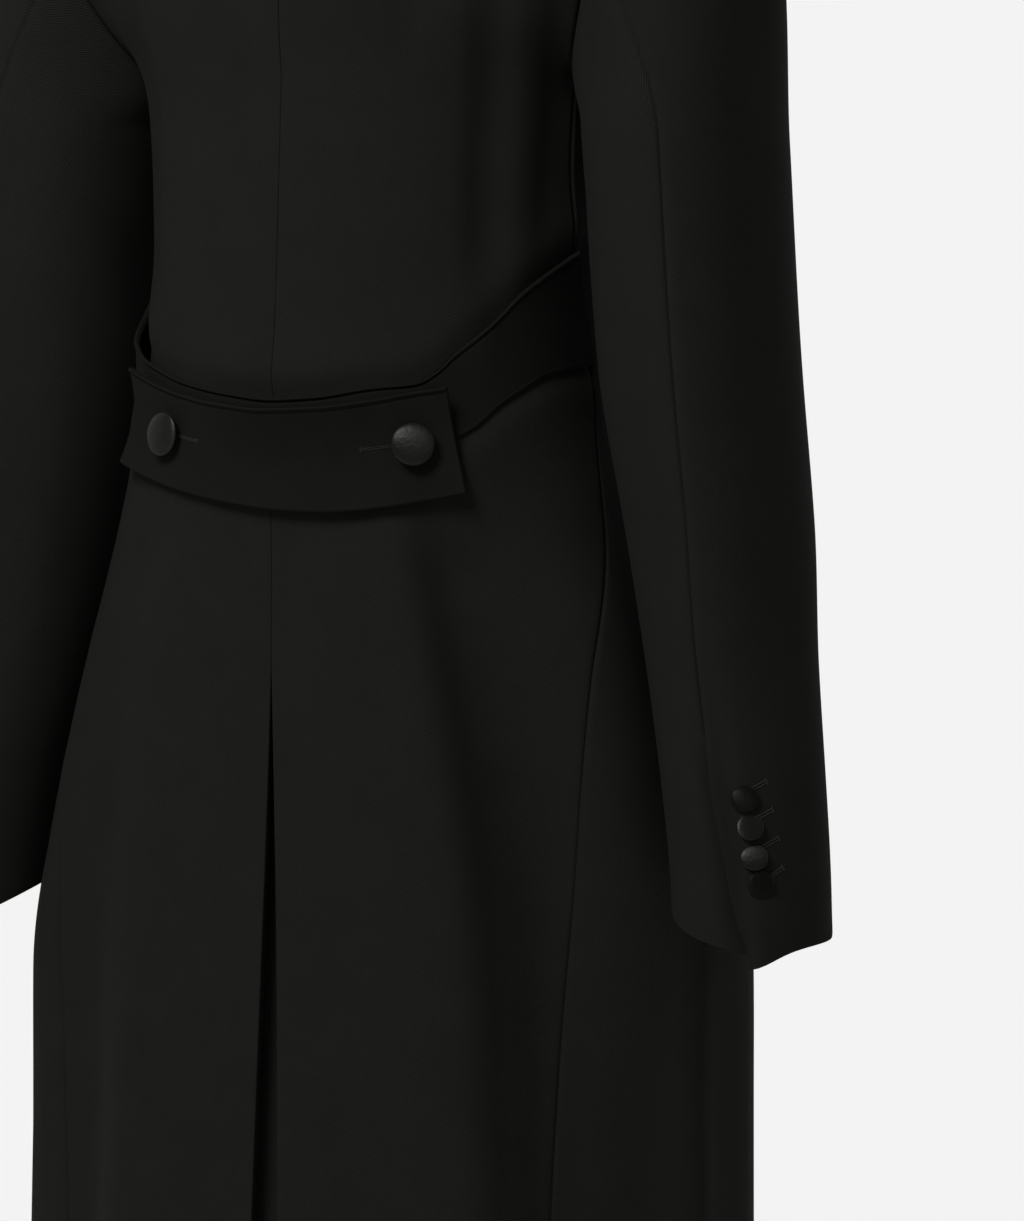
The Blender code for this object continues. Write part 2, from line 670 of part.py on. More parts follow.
def collar_path(share, side):
    """Foot of the collar's stand, the fall's edge and the stand's height at a place."""
    edge = read_table(COLLAR, COLLAR_COLUMNS, share)
    if share < GORGE_PLACE:
        up = (share + 1.0) / (GORGE_PLACE + 1.0)
        foot = front_block(0.0, blend(COLLAR_FRONT_RISE, 1.0, up), side)
    elif share < 0.0:
        foot = front_top(NECK_SHARE * (1.0 - share / GORGE_PLACE), side)
    else:
        foot = back_top(NECK_SHARE * (1.0 - share), side)
    block = front_block if share < 0.0 else back_block
    return foot, block(edge.across, edge.rise, side), edge.stand


def collar_profile(share, side):
    """Points up the stand, over the roll and down the fall."""
    foot, fall, stand = collar_path(share, side)
    up = Vector((0.0, 0.0, 1.0))
    away = Vector((fall.x - foot.x, fall.y - foot.y, 0.0))
    if share >= 1.0:
        away.x = 0.0
    away.normalize()
    points = [foot + up * 0.0009,
              foot + up * stand * 0.55 - away * 0.0015,
              foot + up * stand,
              foot + up * (stand + COLLAR_ROLL * 0.8) + away * COLLAR_ROLL,
              foot + up * stand * 0.86 + away * COLLAR_ROLL * 2.2]
    landing = fall + (up * 0.8 + away * 0.6) * (LAY + 0.0030)
    points.append(blend(points[-1], landing, 0.55) + (away + up) * 0.0022)
    points.append(landing)
    return points


def collar_grid():
    """Columns go up and over the collar; rows run round the neck from right to left."""
    rows = []
    for k in range(-COLLAR_STEPS, COLLAR_STEPS + 1):
        share = 1.0 - 2.0 * abs(k) / COLLAR_STEPS
        rows.append(collar_profile(share, RIGHT if k < 0 else LEFT))
    return rows


def roll_place(along, across, side, lift):
    """A point on a front by its share of the roll line's height, lifted off the panel."""
    split = (BLOCK_FOOT - BREAK_HEIGHT) / ROLL_LINE_LENGTH
    if along <= split:
        height = blend(BREAK_HEIGHT, BLOCK_FOOT, along / split)
        return front_place(across, height, side, lift)
    rise = (along - split) / (1.0 - split)
    point = front_block(across, rise, side)
    step = 0.01
    across_step = front_block(across + step, rise, side) - point
    rise_step = front_block(across, rise - step, side) - point
    normal = across_step.cross(rise_step) * -side
    return point + normal.normalized() * lift


def lapel_grid(side):
    """Rows from the break up; each runs from the roll line to the lapel's outer edge."""
    rows = []
    for r in range(LAPEL_STEPS + 1):
        up = r / LAPEL_STEPS
        reach = read_table(LAPEL, LAPEL_COLUMNS, up).reach
        row = []
        for k in range(LAPEL_ACROSS + 1):
            out = k / LAPEL_ACROSS
            along = up * read_table(LAPEL_TOP, LAPEL_TOP_COLUMNS, out).along
            spring = LAPEL_ROLL * (0.55 + 0.45 * math.sin(math.pi * min(1.0, 0.2 + out)))
            spring *= ease(up * 2.5 - 0.3)
            row.append(roll_place(along, out * reach, side, LAY + LAPEL_WALL + spring))
        rows.append(row)
    return rows


# ------------------------------------------------------------------ covered buttons
def surface_frame(point_at, angle, height, facing=1):
    """Place and outward direction on a surface given as a function of angle and height."""
    place = point_at(angle, height)
    round_step = point_at(angle + 1.0, height) - place
    up_step = point_at(angle, height + 0.002) - place
    return place, round_step.cross(up_step).normalized() * facing


def seat_distance(piece, carrier, normal):
    """Shortest way from the piece's points to the carrier, measured along the normal."""
    surface = BVHTree.FromPolygons([v.co for v in carrier.data.vertices],
                                   [p.vertices for p in carrier.data.polygons])
    shortest = None
    for vert in piece.data.vertices:
        start = piece.matrix_world @ vert.co
        hit, _, _, distance = surface.ray_cast(start, -normal, BUTTON_SEARCH)
        if hit is not None and (shortest is None or distance < shortest):
            shortest = distance
    return shortest


def button_profile(diameter):
    """Half outline from the crown over the rim to the middle of the back."""
    radius = diameter / 2
    rise = BUTTON_RISE * diameter
    outline = [(0.0, rise)]
    for turn in (30.0, 58.0, 82.0):
        outline.append((radius * math.sin(math.radians(turn)),
                        rise * (0.45 + 0.55 * math.cos(math.radians(turn)))))
    outline.append((radius * 0.90, 0.0))
    outline.append((0.0, 0.0))
    return outline


def add_button(name, place, normal, diameter, tilt, turn, carrier, steps):
    """A cloth-covered button, tilted on its thread and seated just off its carrier."""
    outline = button_profile(diameter)
    mesh = bmesh.new()
    verts = [mesh.verts.new((out, 0.0, rise)) for out, rise in outline]
    for start, end in zip(verts, verts[1:]):
        mesh.edges.new((start, end))
    data = bpy.data.meshes.new(name)
    mesh.to_mesh(data)
    mesh.free()
    piece = add_object(name, data, SATIN)
    screw = piece.modifiers.new("turn", "SCREW")
    screw.steps = screw.render_steps = steps
    screw.use_merge_vertices = True
    screw.merge_threshold = 0.00001
    axis = Vector((math.cos(math.radians(turn)), math.sin(math.radians(turn)), 0.0))
    facing = normal.to_track_quat("Z", "Y").to_matrix().to_4x4()
    facing = facing @ Matrix.Rotation(math.radians(tilt), 4, axis)
    piece.matrix_world = Matrix.Translation(place + normal * BUTTON_SEARCH / 2) @ facing
    away = seat_distance(evaluated_copy(piece), carrier, normal)
    piece.matrix_world = Matrix.Translation(normal * (BUTTON_SEAT - away)) @ piece.matrix_world
    return piece


def evaluated_copy(piece):
    """The piece as its modifiers leave it, for measuring."""
    bpy.context.view_layer.update()
    return piece.evaluated_get(bpy.context.evaluated_depsgraph_get())


# ------------------------------------------------------------------ materials
def cloth_material(name, colour, roughness, sheen):
    material = bpy.data.materials.new(name)
    material.use_nodes = True
    shader = material.node_tree.nodes["Principled BSDF"]
    shader.inputs["Base Color"].default_value = (*colour, 1.0)
    shader.inputs["Roughness"].default_value = roughness
    shader.inputs["Metallic"].default_value = 0.0
    shader.inputs["Sheen Weight"].default_value = sheen
    return material


WOOL = cloth_material("black_wool", (0.0085, 0.0085, 0.0078), 0.85, 0.1)
SATIN = cloth_material("black_satin", (0.0110, 0.0108, 0.0100), 0.38, 0.0)
COLLECTION = bpy.data.collections.new("tuxedo_coat")


# ------------------------------------------------------------------ the coat
def clear_scene():
    for item in list(bpy.data.objects):
        bpy.data.objects.remove(item, do_unlink=True)


def build_shell():
    """The cut pieces of body and sleeves, which share their seams."""
    pieces = {}
    for word, side in SIDES:
        body = {
            f"back_{word}": (back_grid(side), -side),
            f"side_{word}": (side_grid(side), -side),
            f"front_{word}": (front_grid(side), side),
        }
        sleeve = {
            f"top_sleeve_{word}": (sleeve_grid(TOP_SLEEVE_TURNS, side, True), -side),
            f"under_sleeve_{word}": (sleeve_grid(UNDER_SLEEVE_TURNS, side, False), -side),
        }
        pieces[word] = (side, body, sleeve)
    body_sums = {}
    for _, body, _ in pieces.values():
        for grid, facing in body.values():
            add_normals(grid, facing, body_sums)
    built = {}
    for side, body, sleeve in pieces.values():
        sleeve_sums = {}
        for grid, facing in sleeve.values():
            add_normals(grid, facing, sleeve_sums)
        share_armhole_normals(body_sums, sleeve_sums, side)
        for name, (grid, _) in sleeve.items():
            built[name] = wall_object(name, grid, sleeve_sums, WALL, WOOL, SLEEVE_SEAM_GAP / 2)
    for _, body, _ in pieces.values():
        for name, (grid, _) in body.items():
            built[name] = wall_object(name, grid, body_sums, WALL, WOOL)
    return built


def build_belt():
    lone_wall("belt_under", belt_grid(), 1, BELT_WALL, WOOL)
    tab = lone_wall("belt_tab", tab_grid(), 1, TAB_WALL, WOOL)
    for number, row in enumerate(BELT_BUTTONS, 1):
        button = SimpleNamespace(**dict(zip(BUTTON_COLUMNS, row)))
        edge = read_table(TAB, TAB_COLUMNS, button.angle)
        place, normal = surface_frame(
            lambda angle, height: tab_point(angle, (edge.top - height) / (edge.top - edge.foot)),
            button.angle, button.height)
        add_button(f"belt_button_{number}", place, normal, button.diameter, button.tilt,
                   button.turn, tab, 16)


def build_cuff_buttons(shell):
    for word, side in SIDES:
        for number, row in enumerate(CUFF_BUTTONS, 1):
            button = SimpleNamespace(**dict(zip(BUTTON_COLUMNS, row)))
            place, normal = surface_frame(
                lambda angle, height: sleeve_ring(angle, height, side),
                button.angle, button.height, -side)
            add_button(f"cuff_button_{word}_{number}", place, normal, button.diameter,
                       button.tilt, button.turn, shell[f"top_sleeve_{word}"], 10)


def build_front_buttons(shell):
    for number, row in enumerate(FRONT_BUTTONS, 1):
        button = SimpleNamespace(**dict(zip(BUTTON_COLUMNS, row)))
        place, normal = surface_frame(
            lambda angle, height: body_point(angle, height, front_lift(angle, height, RIGHT)),
            button.angle, button.height)
        add_button(f"front_button_{number}", place, normal, button.diameter, button.tilt,
                   button.turn, shell["front_right"], 16)


def build_collar_and_lapels():
    lone_wall("collar", collar_grid(), COLLAR_FACING, WALL, WOOL)
    for word, side in SIDES:
        lone_wall(f"lapel_{word}", lapel_grid(side), side, LAPEL_WALL, SATIN)


clear_scene()
bpy.context.scene.collection.children.link(COLLECTION)
SHELL = build_shell()
lone_wall("pleat_underlay", pleat_grid(), -1, WALL, WOOL)
build_belt()
build_cuff_buttons(SHELL)
build_front_buttons(SHELL)
build_collar_and_lapels()
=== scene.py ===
"""Looks of a black tuxedo coat: its cloth, seams, folds, buttons and buttonholes, and the stage.

Metres, +Z up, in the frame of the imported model. The front faces -Y and the wearer's right is
at -X. Each visible piece takes its form from the same sizes as the solid that it replaces,
with the folds, pressed seams and edges that the cloth shows.

Angles run round the body from the centre back, positive towards the wearer's right.
A side is -1 for the wearer's right and +1 for the left.
"""

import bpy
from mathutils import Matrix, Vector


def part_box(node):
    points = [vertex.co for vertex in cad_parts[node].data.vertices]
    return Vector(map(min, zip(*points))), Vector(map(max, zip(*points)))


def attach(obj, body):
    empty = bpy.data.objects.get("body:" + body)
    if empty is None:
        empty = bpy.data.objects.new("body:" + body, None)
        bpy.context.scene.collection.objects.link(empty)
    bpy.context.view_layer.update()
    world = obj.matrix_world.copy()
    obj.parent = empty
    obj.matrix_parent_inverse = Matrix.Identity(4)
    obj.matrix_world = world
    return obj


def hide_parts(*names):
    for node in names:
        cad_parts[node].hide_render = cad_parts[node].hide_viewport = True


bl_info = {
    "name": "Tuxedo Coat",
    "version": (1, 0, 0),
    "blender": (4, 5, 0),
    "location": "3D View > Sidebar > Coat",
    "description": "Builds the cloth, buttons and buttonholes of a tuxedo coat round its frame",
    "category": "Object",
}

import math
from types import SimpleNamespace

import bmesh
import bpy
import numpy as np
from bpy.props import FloatProperty, FloatVectorProperty, PointerProperty
from mathutils import Matrix, Vector

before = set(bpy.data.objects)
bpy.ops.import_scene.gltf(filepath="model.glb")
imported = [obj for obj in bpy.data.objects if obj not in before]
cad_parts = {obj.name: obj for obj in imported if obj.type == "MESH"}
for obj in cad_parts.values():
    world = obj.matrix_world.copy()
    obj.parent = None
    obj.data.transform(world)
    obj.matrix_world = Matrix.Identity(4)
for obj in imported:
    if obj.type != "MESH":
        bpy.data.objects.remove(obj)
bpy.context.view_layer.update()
BODY_NAME = "root"

RIGHT = -1
LEFT = 1
SIDES = (("right", RIGHT), ("left", LEFT))

# ------------------------------------------------------------------ sizes of the form
WALL = 0.0016               # wool with its canvas or fusing
SEAM_GAP = 0.0003
LAY = 0.0010                # clearance under a piece that lies on a panel

HEM_HEIGHT = -1.03
BODY_COLUMNS = ("height", "half_width", "back_depth", "front_depth", "back_seam", "front_seam")
BODY_ROWS = (
    (HEM_HEIGHT, 0.2080, 0.1380, 0.1900, 48.0, 126.0),
    (-0.750, 0.2075, 0.1290, 0.1900, 51.4, 125.0),
    (-0.680, 0.2080, 0.1265, 0.1880, 52.5, 124.0),
    (-0.572, 0.1920, 0.1230, 0.1700, 59.2, 122.0),      # cuff level
    (-0.516, 0.1780, 0.1220, 0.1580, 65.0, 120.0),      # hip
    (-0.430, 0.1520, 0.1210, 0.1420, 80.5, 117.0),
    (-0.350, 0.1320, 0.1190, 0.1340, 88.5, 116.0),      # waist
    (-0.290, 0.1290, 0.1160, 0.1380, 82.5, 115.0),
    (-0.250, 0.1300, 0.1140, 0.1420, 80.5, 114.0),
    (-0.189, 0.1350, 0.1110, 0.1450, 79.0, 112.0),      # foot of the armhole
)
BLOCK_FOOT = -0.189         # above this height the chest and shoulders take over

# soft vertical folds of the skirt, pressed in (+) or standing out (-)
FOLD_GROWTH = 0.35          # share of its height over which a fold reaches its full depth
FOLD_COLUMNS = ("top", "foot", "top_angle", "foot_angle", "half_span", "depth")
FOLD_ROWS = (
    (-0.440, HEM_HEIGHT, 41.5, 54.0, 16.0, 0.0105),
    (-0.480, HEM_HEIGHT, 56.0, 69.0, 22.0, 0.0150),
    (-0.455, HEM_HEIGHT, -39.0, -46.0, 16.0, 0.0070),
    (-0.480, HEM_HEIGHT, -60.0, -68.0, 12.0, -0.0045),
    (-0.600, HEM_HEIGHT, 95.0, 99.0, 15.0, 0.0060),
    (-0.580, HEM_HEIGHT, -97.0, -92.0, 14.0, 0.0070),
)

# inverted pleat at the centre back
PLEAT_TOP = -0.512
PLEAT_SPREAD = 0.024        # half opening for each metre below the top
PLEAT_DEPTH = 0.014
PLEAT_FLANK = 0.0060        # how far the folded-in side slants past the edge

# neck, shoulder and armhole
NAPE = Vector((0.0, 0.070, -0.006))
NECK_SIDE = Vector((0.076, 0.004, 0.010))
GORGE = Vector((0.070, -0.034, -0.008))
SHOULDER = Vector((0.195, 0.0, -0.035))
CENTRE_BACK_CONTROL = (Vector((0.0, 0.121, -0.120)), Vector((0.0, 0.108, -0.045)))
ROLL_LINE_CONTROL = Vector((0.047, -0.119, -0.078))
BACK_FULLNESS = Vector((0.004, 0.005, 0.006))
CHEST_FULLNESS = Vector((0.004, -0.013, 0.004))

ARMHOLE_ROWS = (            # turn (0 shoulder, 90 back, 180 under the arm), out, fore, height
    (0, 0.195, 0.000, -0.035),
    (45, 0.186, 0.045, -0.060),
    (90, 0.168, 0.062, -0.120),
    (120, 0.148, 0.046, -0.163),
    (240, 0.150, -0.050, -0.165),
    (270, 0.167, -0.060, -0.125),
    (315, 0.186, -0.042, -0.064),
)
UNDERARM_HEIGHT = -0.200
UNDERARM_ANGLE = 95.0
UNDERARM_TURNS = (150.0, 210.0)         # where the side seams meet the armhole
ELBOW_TURN = 90.0                       # and where the sleeve's two seams do
FOREARM_TURN = 240.0

# front edge
FRONT_LAP = 0.018           # each front passes the centre line by this much
LAP_FADE = 0.055            # from here to the centre the upper front rises over the lower one
LAP_COLUMNS = ("height", "lift")
LAP_ROWS = ((-1.03, 0.0030), (-0.42, 0.0030), (-0.35, 0.0072), (-0.27, 0.0075), (-0.20, 0.0))
BREAK_HEIGHT = -0.345       # where the lapel starts to roll

SLEEVE_COLUMNS = ("height", "out", "fore", "half_width", "half_depth", "elbow", "forearm")
SLEEVE_ROWS = (             # angles: 0 to the back, 90 outwards, 180 to the front
    (-0.690, 0.2505, 0.0290, 0.0408, 0.0490, 33.0, 226.0),
    (-0.665, 0.2490, 0.0281, 0.0411, 0.0496, 29.0, 226.0),
    (-0.653, 0.2480, 0.0275, 0.0412, 0.0500, 24.0, 226.0),
    (-0.624, 0.2452, 0.0247, 0.0414, 0.0506, 17.0, 226.0),
    (-0.572, 0.2378, 0.0198, 0.0424, 0.0524, 10.5, 226.0),
    (-0.516, 0.2260, 0.0097, 0.0440, 0.0552, 11.5, 226.0),
    (-0.431, 0.2122, 0.0015, 0.0485, 0.0625, 17.0, 226.0),
    (-0.350, 0.1998, -0.0003, 0.0515, 0.0673, 21.0, 226.0),
    (-0.225, 0.1908, 0.0000, 0.0520, 0.0700, 22.5, 226.0),
)
CAP_FOOT = -0.225           # first full ring of the sleeve
CUFF_HEIGHT = -0.6500       # middle of the cuff's edge, which rises to the front
CUFF_TILT = 0.0230
CUFF_LOW_ANGLE = 49.0
CUFF_STRAIGHT = 0.0064      # draws the edge straight from the vent to the outer side
CUFF_POINT = 0.0060         # and the edge droops into a point at the vent
CUFF_POINT_REACH = 24.0     # degrees round the top sleeve; a third of it on the under one

# half belt: where its edges lie, by the share of the way from the centre to the side seam
BELT_COLUMNS = ("share", "top", "foot")
BELT_ROWS = (
    (-1.00, -0.2960, -0.3500),
    (-0.82, -0.3230, -0.3660),
    (-0.64, -0.3405, -0.3860),
    (-0.52, -0.3470, -0.3920),
    (-0.34, -0.3560, -0.3985),
    (-0.14, -0.3632, -0.4040),
    (0.00, -0.3664, -0.4060),
    (0.12, -0.3654, -0.4045),
    (0.29, -0.3602, -0.4000),
    (0.40, -0.3582, -0.3960),
    (0.46, -0.3520, -0.3920),
    (0.51, -0.3430, -0.3885),
    (0.56, -0.3360, -0.3835),
    (0.64, -0.3250, -0.3710),
    (0.75, -0.3090, -0.3590),
    (0.80, -0.3035, -0.3545),
    (1.00, -0.2856, -0.3480),
)
BELT_WALL = 0.0020
BELT_CLEAR = 0.0002         # over the rounded form; the flat facets below lie deeper
BELT_END_INSET = 0.5        # degrees short of the side seam
TAB_COLUMNS = ("angle", "top", "foot", "stand_off")
TAB_ROWS = (
    (-50.0, -0.3490, -0.4010, 0.0045),
    (-30.0, -0.3615, -0.4130, 0.0002),
    (-20.0, -0.3660, -0.4185, 0.0004),
    (-8.0, -0.3700, -0.4240, 0.0010),
    (2.0, -0.3725, -0.4275, 0.0014),
    (14.0, -0.3716, -0.4290, 0.0014),
    (26.0, -0.3676, -0.4264, 0.0006),
    (34.0, -0.3640, -0.4228, 0.0002),
    (43.0, -0.3610, -0.4187, 0.0026),
)
TAB_SLANT = 1.1             # degrees by which its right end slants outwards to the foot
TAB_WALL = 0.0026
TAB_CLEAR = 0.0003

# a button's place, its tilt off the cloth and towards which side, and how its threads lie
BUTTON_COLUMNS = ("angle", "height", "diameter", "tilt", "turn", "threads")
BELT_BUTTON_ROWS = (
    (33.3, -0.3925, 0.0240, 4.0, 180.0, 20.0),
    (-29.8, -0.3862, 0.0240, 8.0, 80.0, 110.0),
)
CUFF_BUTTON_ROWS = (
    (34.5, -0.5845, 0.0150, 8.0, 250.0, 40.0),
    (36.2, -0.5998, 0.0150, 15.0, 205.0, 90.0),
    (37.5, -0.6163, 0.0150, 16.0, 222.0, 0.0),
    (41.0, -0.6312, 0.0150, 11.0, 10.0, 60.0),
)
FRONT_BUTTON_ROWS = (
    (180.0, -0.355, 0.0240, 0.0, 0.0, 75.0),
    (180.0, -0.475, 0.0240, 0.0, 0.0, 10.0),
)
BUTTON_RISE = 0.19          # dome height as a share of the diameter

# collar and lapels
COLLAR_ROLL = 0.0045
COLLAR_COLUMNS = ("place", "stand", "across", "rise")   # stand height; where the fall's edge lands
COLLAR_ROWS = (             # -1 on the roll line, GORGE_PLACE at its top, 0 the neck side, 1 nape
    (-1.0, 0.005, 0.46, 0.745),
    (-0.7, 0.010, 0.48, 0.830),
    (-0.4, 0.017, 0.50, 0.915),
    (0.0, 0.026, 0.50, 1.000),
    (0.5, 0.029, 0.27, 0.965),
    (1.0, 0.030, 0.00, 0.935),
)
GORGE_PLACE = -0.4
COLLAR_FRONT_RISE = 0.81    # where the collar starts on the roll line
LAPEL_COLUMNS = ("rise", "reach")       # 0 at the break, 1 at the peak; share of the front's width
LAPEL_ROWS = ((0.0, 0.03), (0.2, 0.16), (0.45, 0.34), (0.72, 0.51), (0.90, 0.63), (1.0, 0.73))
LAPEL_TOP_COLUMNS = ("out", "along")    # its upper edge, from the roll line to the peak
LAPEL_TOP_ROWS = ((0.0, 0.882), (0.3, 0.864), (0.6, 0.842), (0.8, 0.856), (1.0, 0.895))
ROLL_LINE_LENGTH = 0.366
LAPEL_WALL = 0.0018
LAPEL_ROLL = 0.0030         # how far the lapel springs off the chest by its fold

# what the cloth shows beyond its plain form
SEAM_SINK = 0.00105         # how deep a pressed seam dips, and how far from it
SEAM_REACH = 0.0012
SEAM_RIDGE = 0.00022        # the turned-in cloth shows as a low ridge beside the seam
SEAM_RIDGE_AT = 0.0055
SEAM_RIDGE_WIDTH = 0.0022
EDGE_STEPS = (0.0, 0.0004, 0.0008, 0.0013, 0.0020, 0.0032, 0.0050, 0.0072)
ROW_STEP = 0.0042
HEM_ROW = 0.004             # the first even row above the hem
BLOCK_ROWS = 40

# soft troughs (-) and ridges (+), along a line from top to foot; the spans reach towards
# the centre back and away from it
CREASE_COLUMNS = ("top", "foot", "top_angle", "foot_angle", "inner_span", "outer_span",
                  "depth", "fade_top", "fade_foot")
CREASE_ROWS = (
    (-0.090, -0.345, 52.0, 55.0, 9.5, 9.5, -0.0040, 0.30, 0.30),
    (-0.090, -0.320, 63.0, 63.5, 7.5, 7.5, 0.0008, 0.30, 0.25),
    (-0.110, -0.310, 72.5, 72.0, 6.0, 6.0, -0.0012, 0.30, 0.25),
    (-0.130, -0.345, 78.5, 84.0, 4.0, 4.0, 0.0018, 0.30, 0.30),
    (-0.085, -0.335, -50.0, -56.0, 10.0, 10.0, -0.0030, 0.30, 0.35),
    (-0.100, -0.330, -63.0, -66.0, 7.5, 7.5, 0.0010, 0.50, 0.35),
    (-0.120, -0.330, -73.0, -72.0, 7.0, 7.0, -0.0015, 0.60, 0.35),
    (-0.400, -1.300, 26.5, 42.0, 26.0, 9.0, 0.0074, 0.08, 0.50),
    (-0.400, -1.300, 39.5, 66.0, 15.0, 26.0, -0.0085, 0.08, 0.50),
    (-0.460, -1.400, 76.0, 77.5, 18.0, 11.0, -0.0090, 0.25, 0.20),
    (-0.380, -0.760, 76.0, 68.0, 22.0, 16.0, 0.0055, 0.35, 0.50),
    (-0.405, -1.400, -26.0, -30.0, 24.0, 10.0, 0.0030, 0.10, 0.20),
    (-0.405, -1.400, -41.0, -46.0, 10.0, 24.0, -0.0045, 0.10, 0.20),
    (-0.300, -0.420, 108.0, 96.0, 9.0, 9.0, -0.0018, 0.40, 0.40),
    (-0.295, -0.415, -110.0, -98.0, 9.0, 9.0, -0.0016, 0.40, 0.40),
    (-0.330, -0.450, 140.0, 122.0, 10.0, 10.0, -0.0016, 0.40, 0.50),
    (-0.335, -0.445, -138.0, -121.0, 10.0, 10.0, -0.0018, 0.40, 0.50),
    (-0.380, -0.560, 163.0, 150.0, 9.0, 9.0, -0.0014, 0.30, 0.50),
    (-0.390, -0.550, -160.0, -148.0, 9.0, 9.0, -0.0013, 0.30, 0.50),
)
BLOUSE = 0.0026             # the back eases out over the belt's upper edge
BLOUSE_REACH = 0.014
BLOUSE_FADE = 0.12          # and fades over this share past the side seams
FLARE = 0.0022              # and under its lower edge

# the pleat's edges: the left one is pressed sharp, the right one rolls softly
PLEAT_ROLL = {RIGHT: 0.0052, LEFT: 0.0008}
PLEAT_ROLL_LENGTH = 0.20    # below the pleat's top the roll grows to its full radius here
PLEAT_ROLL_STEPS = 5

# the sleeve's lower opening, where the top sleeve laps over the under sleeve
VENT_TOP = -0.545
VENT_OPENING = 0.03         # it opens over this height
VENT_LIFT = 0.0019
VENT_REACH = 0.012
ELBOW_STEP = 0.0008         # above it the seam is pressed towards the top sleeve
VENT_UNDERLAP = 0.014
VENT_TUCK = 0.0020
VENT_SHORT = 0.0045         # the underlap is cut this much shorter


# ------------------------------------------------------------------ small helpers
class Table:
    """Named values along a smooth curve through rows, in rising order of the first column."""

    def __init__(self, columns, rows):
        self.columns = columns
        self.rows = np.array(sorted(rows))
        self.keys = self.rows[:, 0]
        steps = np.diff(self.keys)[:, None]
        rises = np.diff(self.rows[:, 1:], axis=0) / steps
        self.slopes = np.zeros_like(self.rows[:, 1:])
        if len(self.rows) > 2:
            self.slopes[0], self.slopes[-1] = rises[0], rises[-1]
            before, after = rises[:-1], rises[1:]
            both = before * after
            safe = np.where(both > 0.0, before + after, 1.0)
            self.slopes[1:-1] = np.where(both > 0.0, 2.0 * both / safe, 0.0)
        self.kept = {}

    def __getitem__(self, index):
        return SimpleNamespace(**dict(zip(self.columns, map(float, self.rows[index]))))

    def at(self, place):
        place = min(max(place, float(self.keys[0])), float(self.keys[-1]))
        if place not in self.kept:
            index = min(int(np.searchsorted(self.keys, place, side="right")) - 1,
                        len(self.keys) - 2)
            step = self.keys[index + 1] - self.keys[index]
            line = hermite(self.rows[index, 1:], self.rows[index + 1, 1:],
                           self.slopes[index] * step, self.slopes[index + 1] * step,
                           (place - self.keys[index]) / step)
            named = dict(zip(self.columns[1:], map(float, line)))
            self.kept[place] = SimpleNamespace(**{self.columns[0]: place}, **named)
        return self.kept[place]


def hermite(start, end, start_slope, end_slope, share):
    """Cubic from start to end; works for numbers and for vectors."""
    square, cube = share ** 2, share ** 3
    return (start * (2 * cube - 3 * square + 1) + start_slope * (cube - 2 * square + share)
            + end * (3 * square - 2 * cube) + end_slope * (cube - square))


def blend(start, end, share):
    return start + (end - start) * share


def ease(share):
    share = min(max(share, 0.0), 1.0)
    return share * share * (3.0 - 2.0 * share)


def hump(offset, span):
    """A soft rise: 1 in its middle and 0 a span away."""
    return 0.5 + 0.5 * math.cos(math.pi * offset / span)


def mirrored(point, side):
    return Vector((point.x * side, point.y, point.z))


def named_rows(columns, rows):
    return [SimpleNamespace(**dict(zip(columns, row))) for row in rows]


def along_line(line, angle, height):
    """How far down a fold's or crease's line a height is, the line's angle there, and how
    far past it an angle lies."""
    fall = (line.top - height) / (line.top - line.foot)
    middle = blend(line.top_angle, line.foot_angle, fall)
    return fall, middle, (angle - middle + 180.0) % 360.0 - 180.0


BODY = Table(BODY_COLUMNS, BODY_ROWS)
FOLDS = named_rows(FOLD_COLUMNS, FOLD_ROWS)
CREASES = named_rows(CREASE_COLUMNS, CREASE_ROWS)
SLEEVE = Table(SLEEVE_COLUMNS, SLEEVE_ROWS)
BELT = Table(BELT_COLUMNS, BELT_ROWS)
TAB = Table(TAB_COLUMNS, TAB_ROWS)
COLLAR = Table(COLLAR_COLUMNS, COLLAR_ROWS)
LAPEL = Table(LAPEL_COLUMNS, LAPEL_ROWS)
LAPEL_TOP = Table(LAPEL_TOP_COLUMNS, LAPEL_TOP_ROWS)
LAP = Table(LAP_COLUMNS, LAP_ROWS)


# ------------------------------------------------------------------ body below the armholes
def body_section(height):
    return BODY.at(height)


def fold_depth(angle, height):
    """How far the skirt's soft folds press the cloth in at this place."""
    depth = 0.0
    for fold in FOLDS:
        fall, _, offset = along_line(fold, angle, height)
        if fall > 0.0 and abs(offset) < fold.half_span:
            depth += fold.depth * hump(offset, fold.half_span) * ease(fall / FOLD_GROWTH)
    return depth


def body_point(angle, height, lift=0.0):
    """A point of the outer surface; angle in degrees from the centre back."""
    section = body_section(height)
    sine, cosine = math.sin(math.radians(angle)), math.cos(math.radians(angle))
    depth = section.back_depth if cosine >= 0.0 else section.front_depth
    point = Vector((-section.half_width * sine, depth * cosine, height))
    outward = Vector((-sine / section.half_width, cosine / depth, 0.0)).normalized()
    return point + outward * (lift - fold_depth(angle, height))


def side_angle(angle, side):
    """The same place on the wearer's right (side -1) or left (side +1)."""
    return -side * angle


def pleat_opening(height):
    return max(0.0, (PLEAT_TOP - height) * PLEAT_SPREAD)


def front_edge_out(height):
    """How far towards its own side a front's edge lies; negative when it laps the other."""
    if height <= BREAK_HEIGHT:
        return -FRONT_LAP
    share = (height - BREAK_HEIGHT) / (GORGE.z - BREAK_HEIGHT)
    return blend(-FRONT_LAP, GORGE.x, share)


def front_edge_angle(height):
    section = body_section(height)
    return 180.0 - math.degrees(math.asin(front_edge_out(height) / section.half_width))


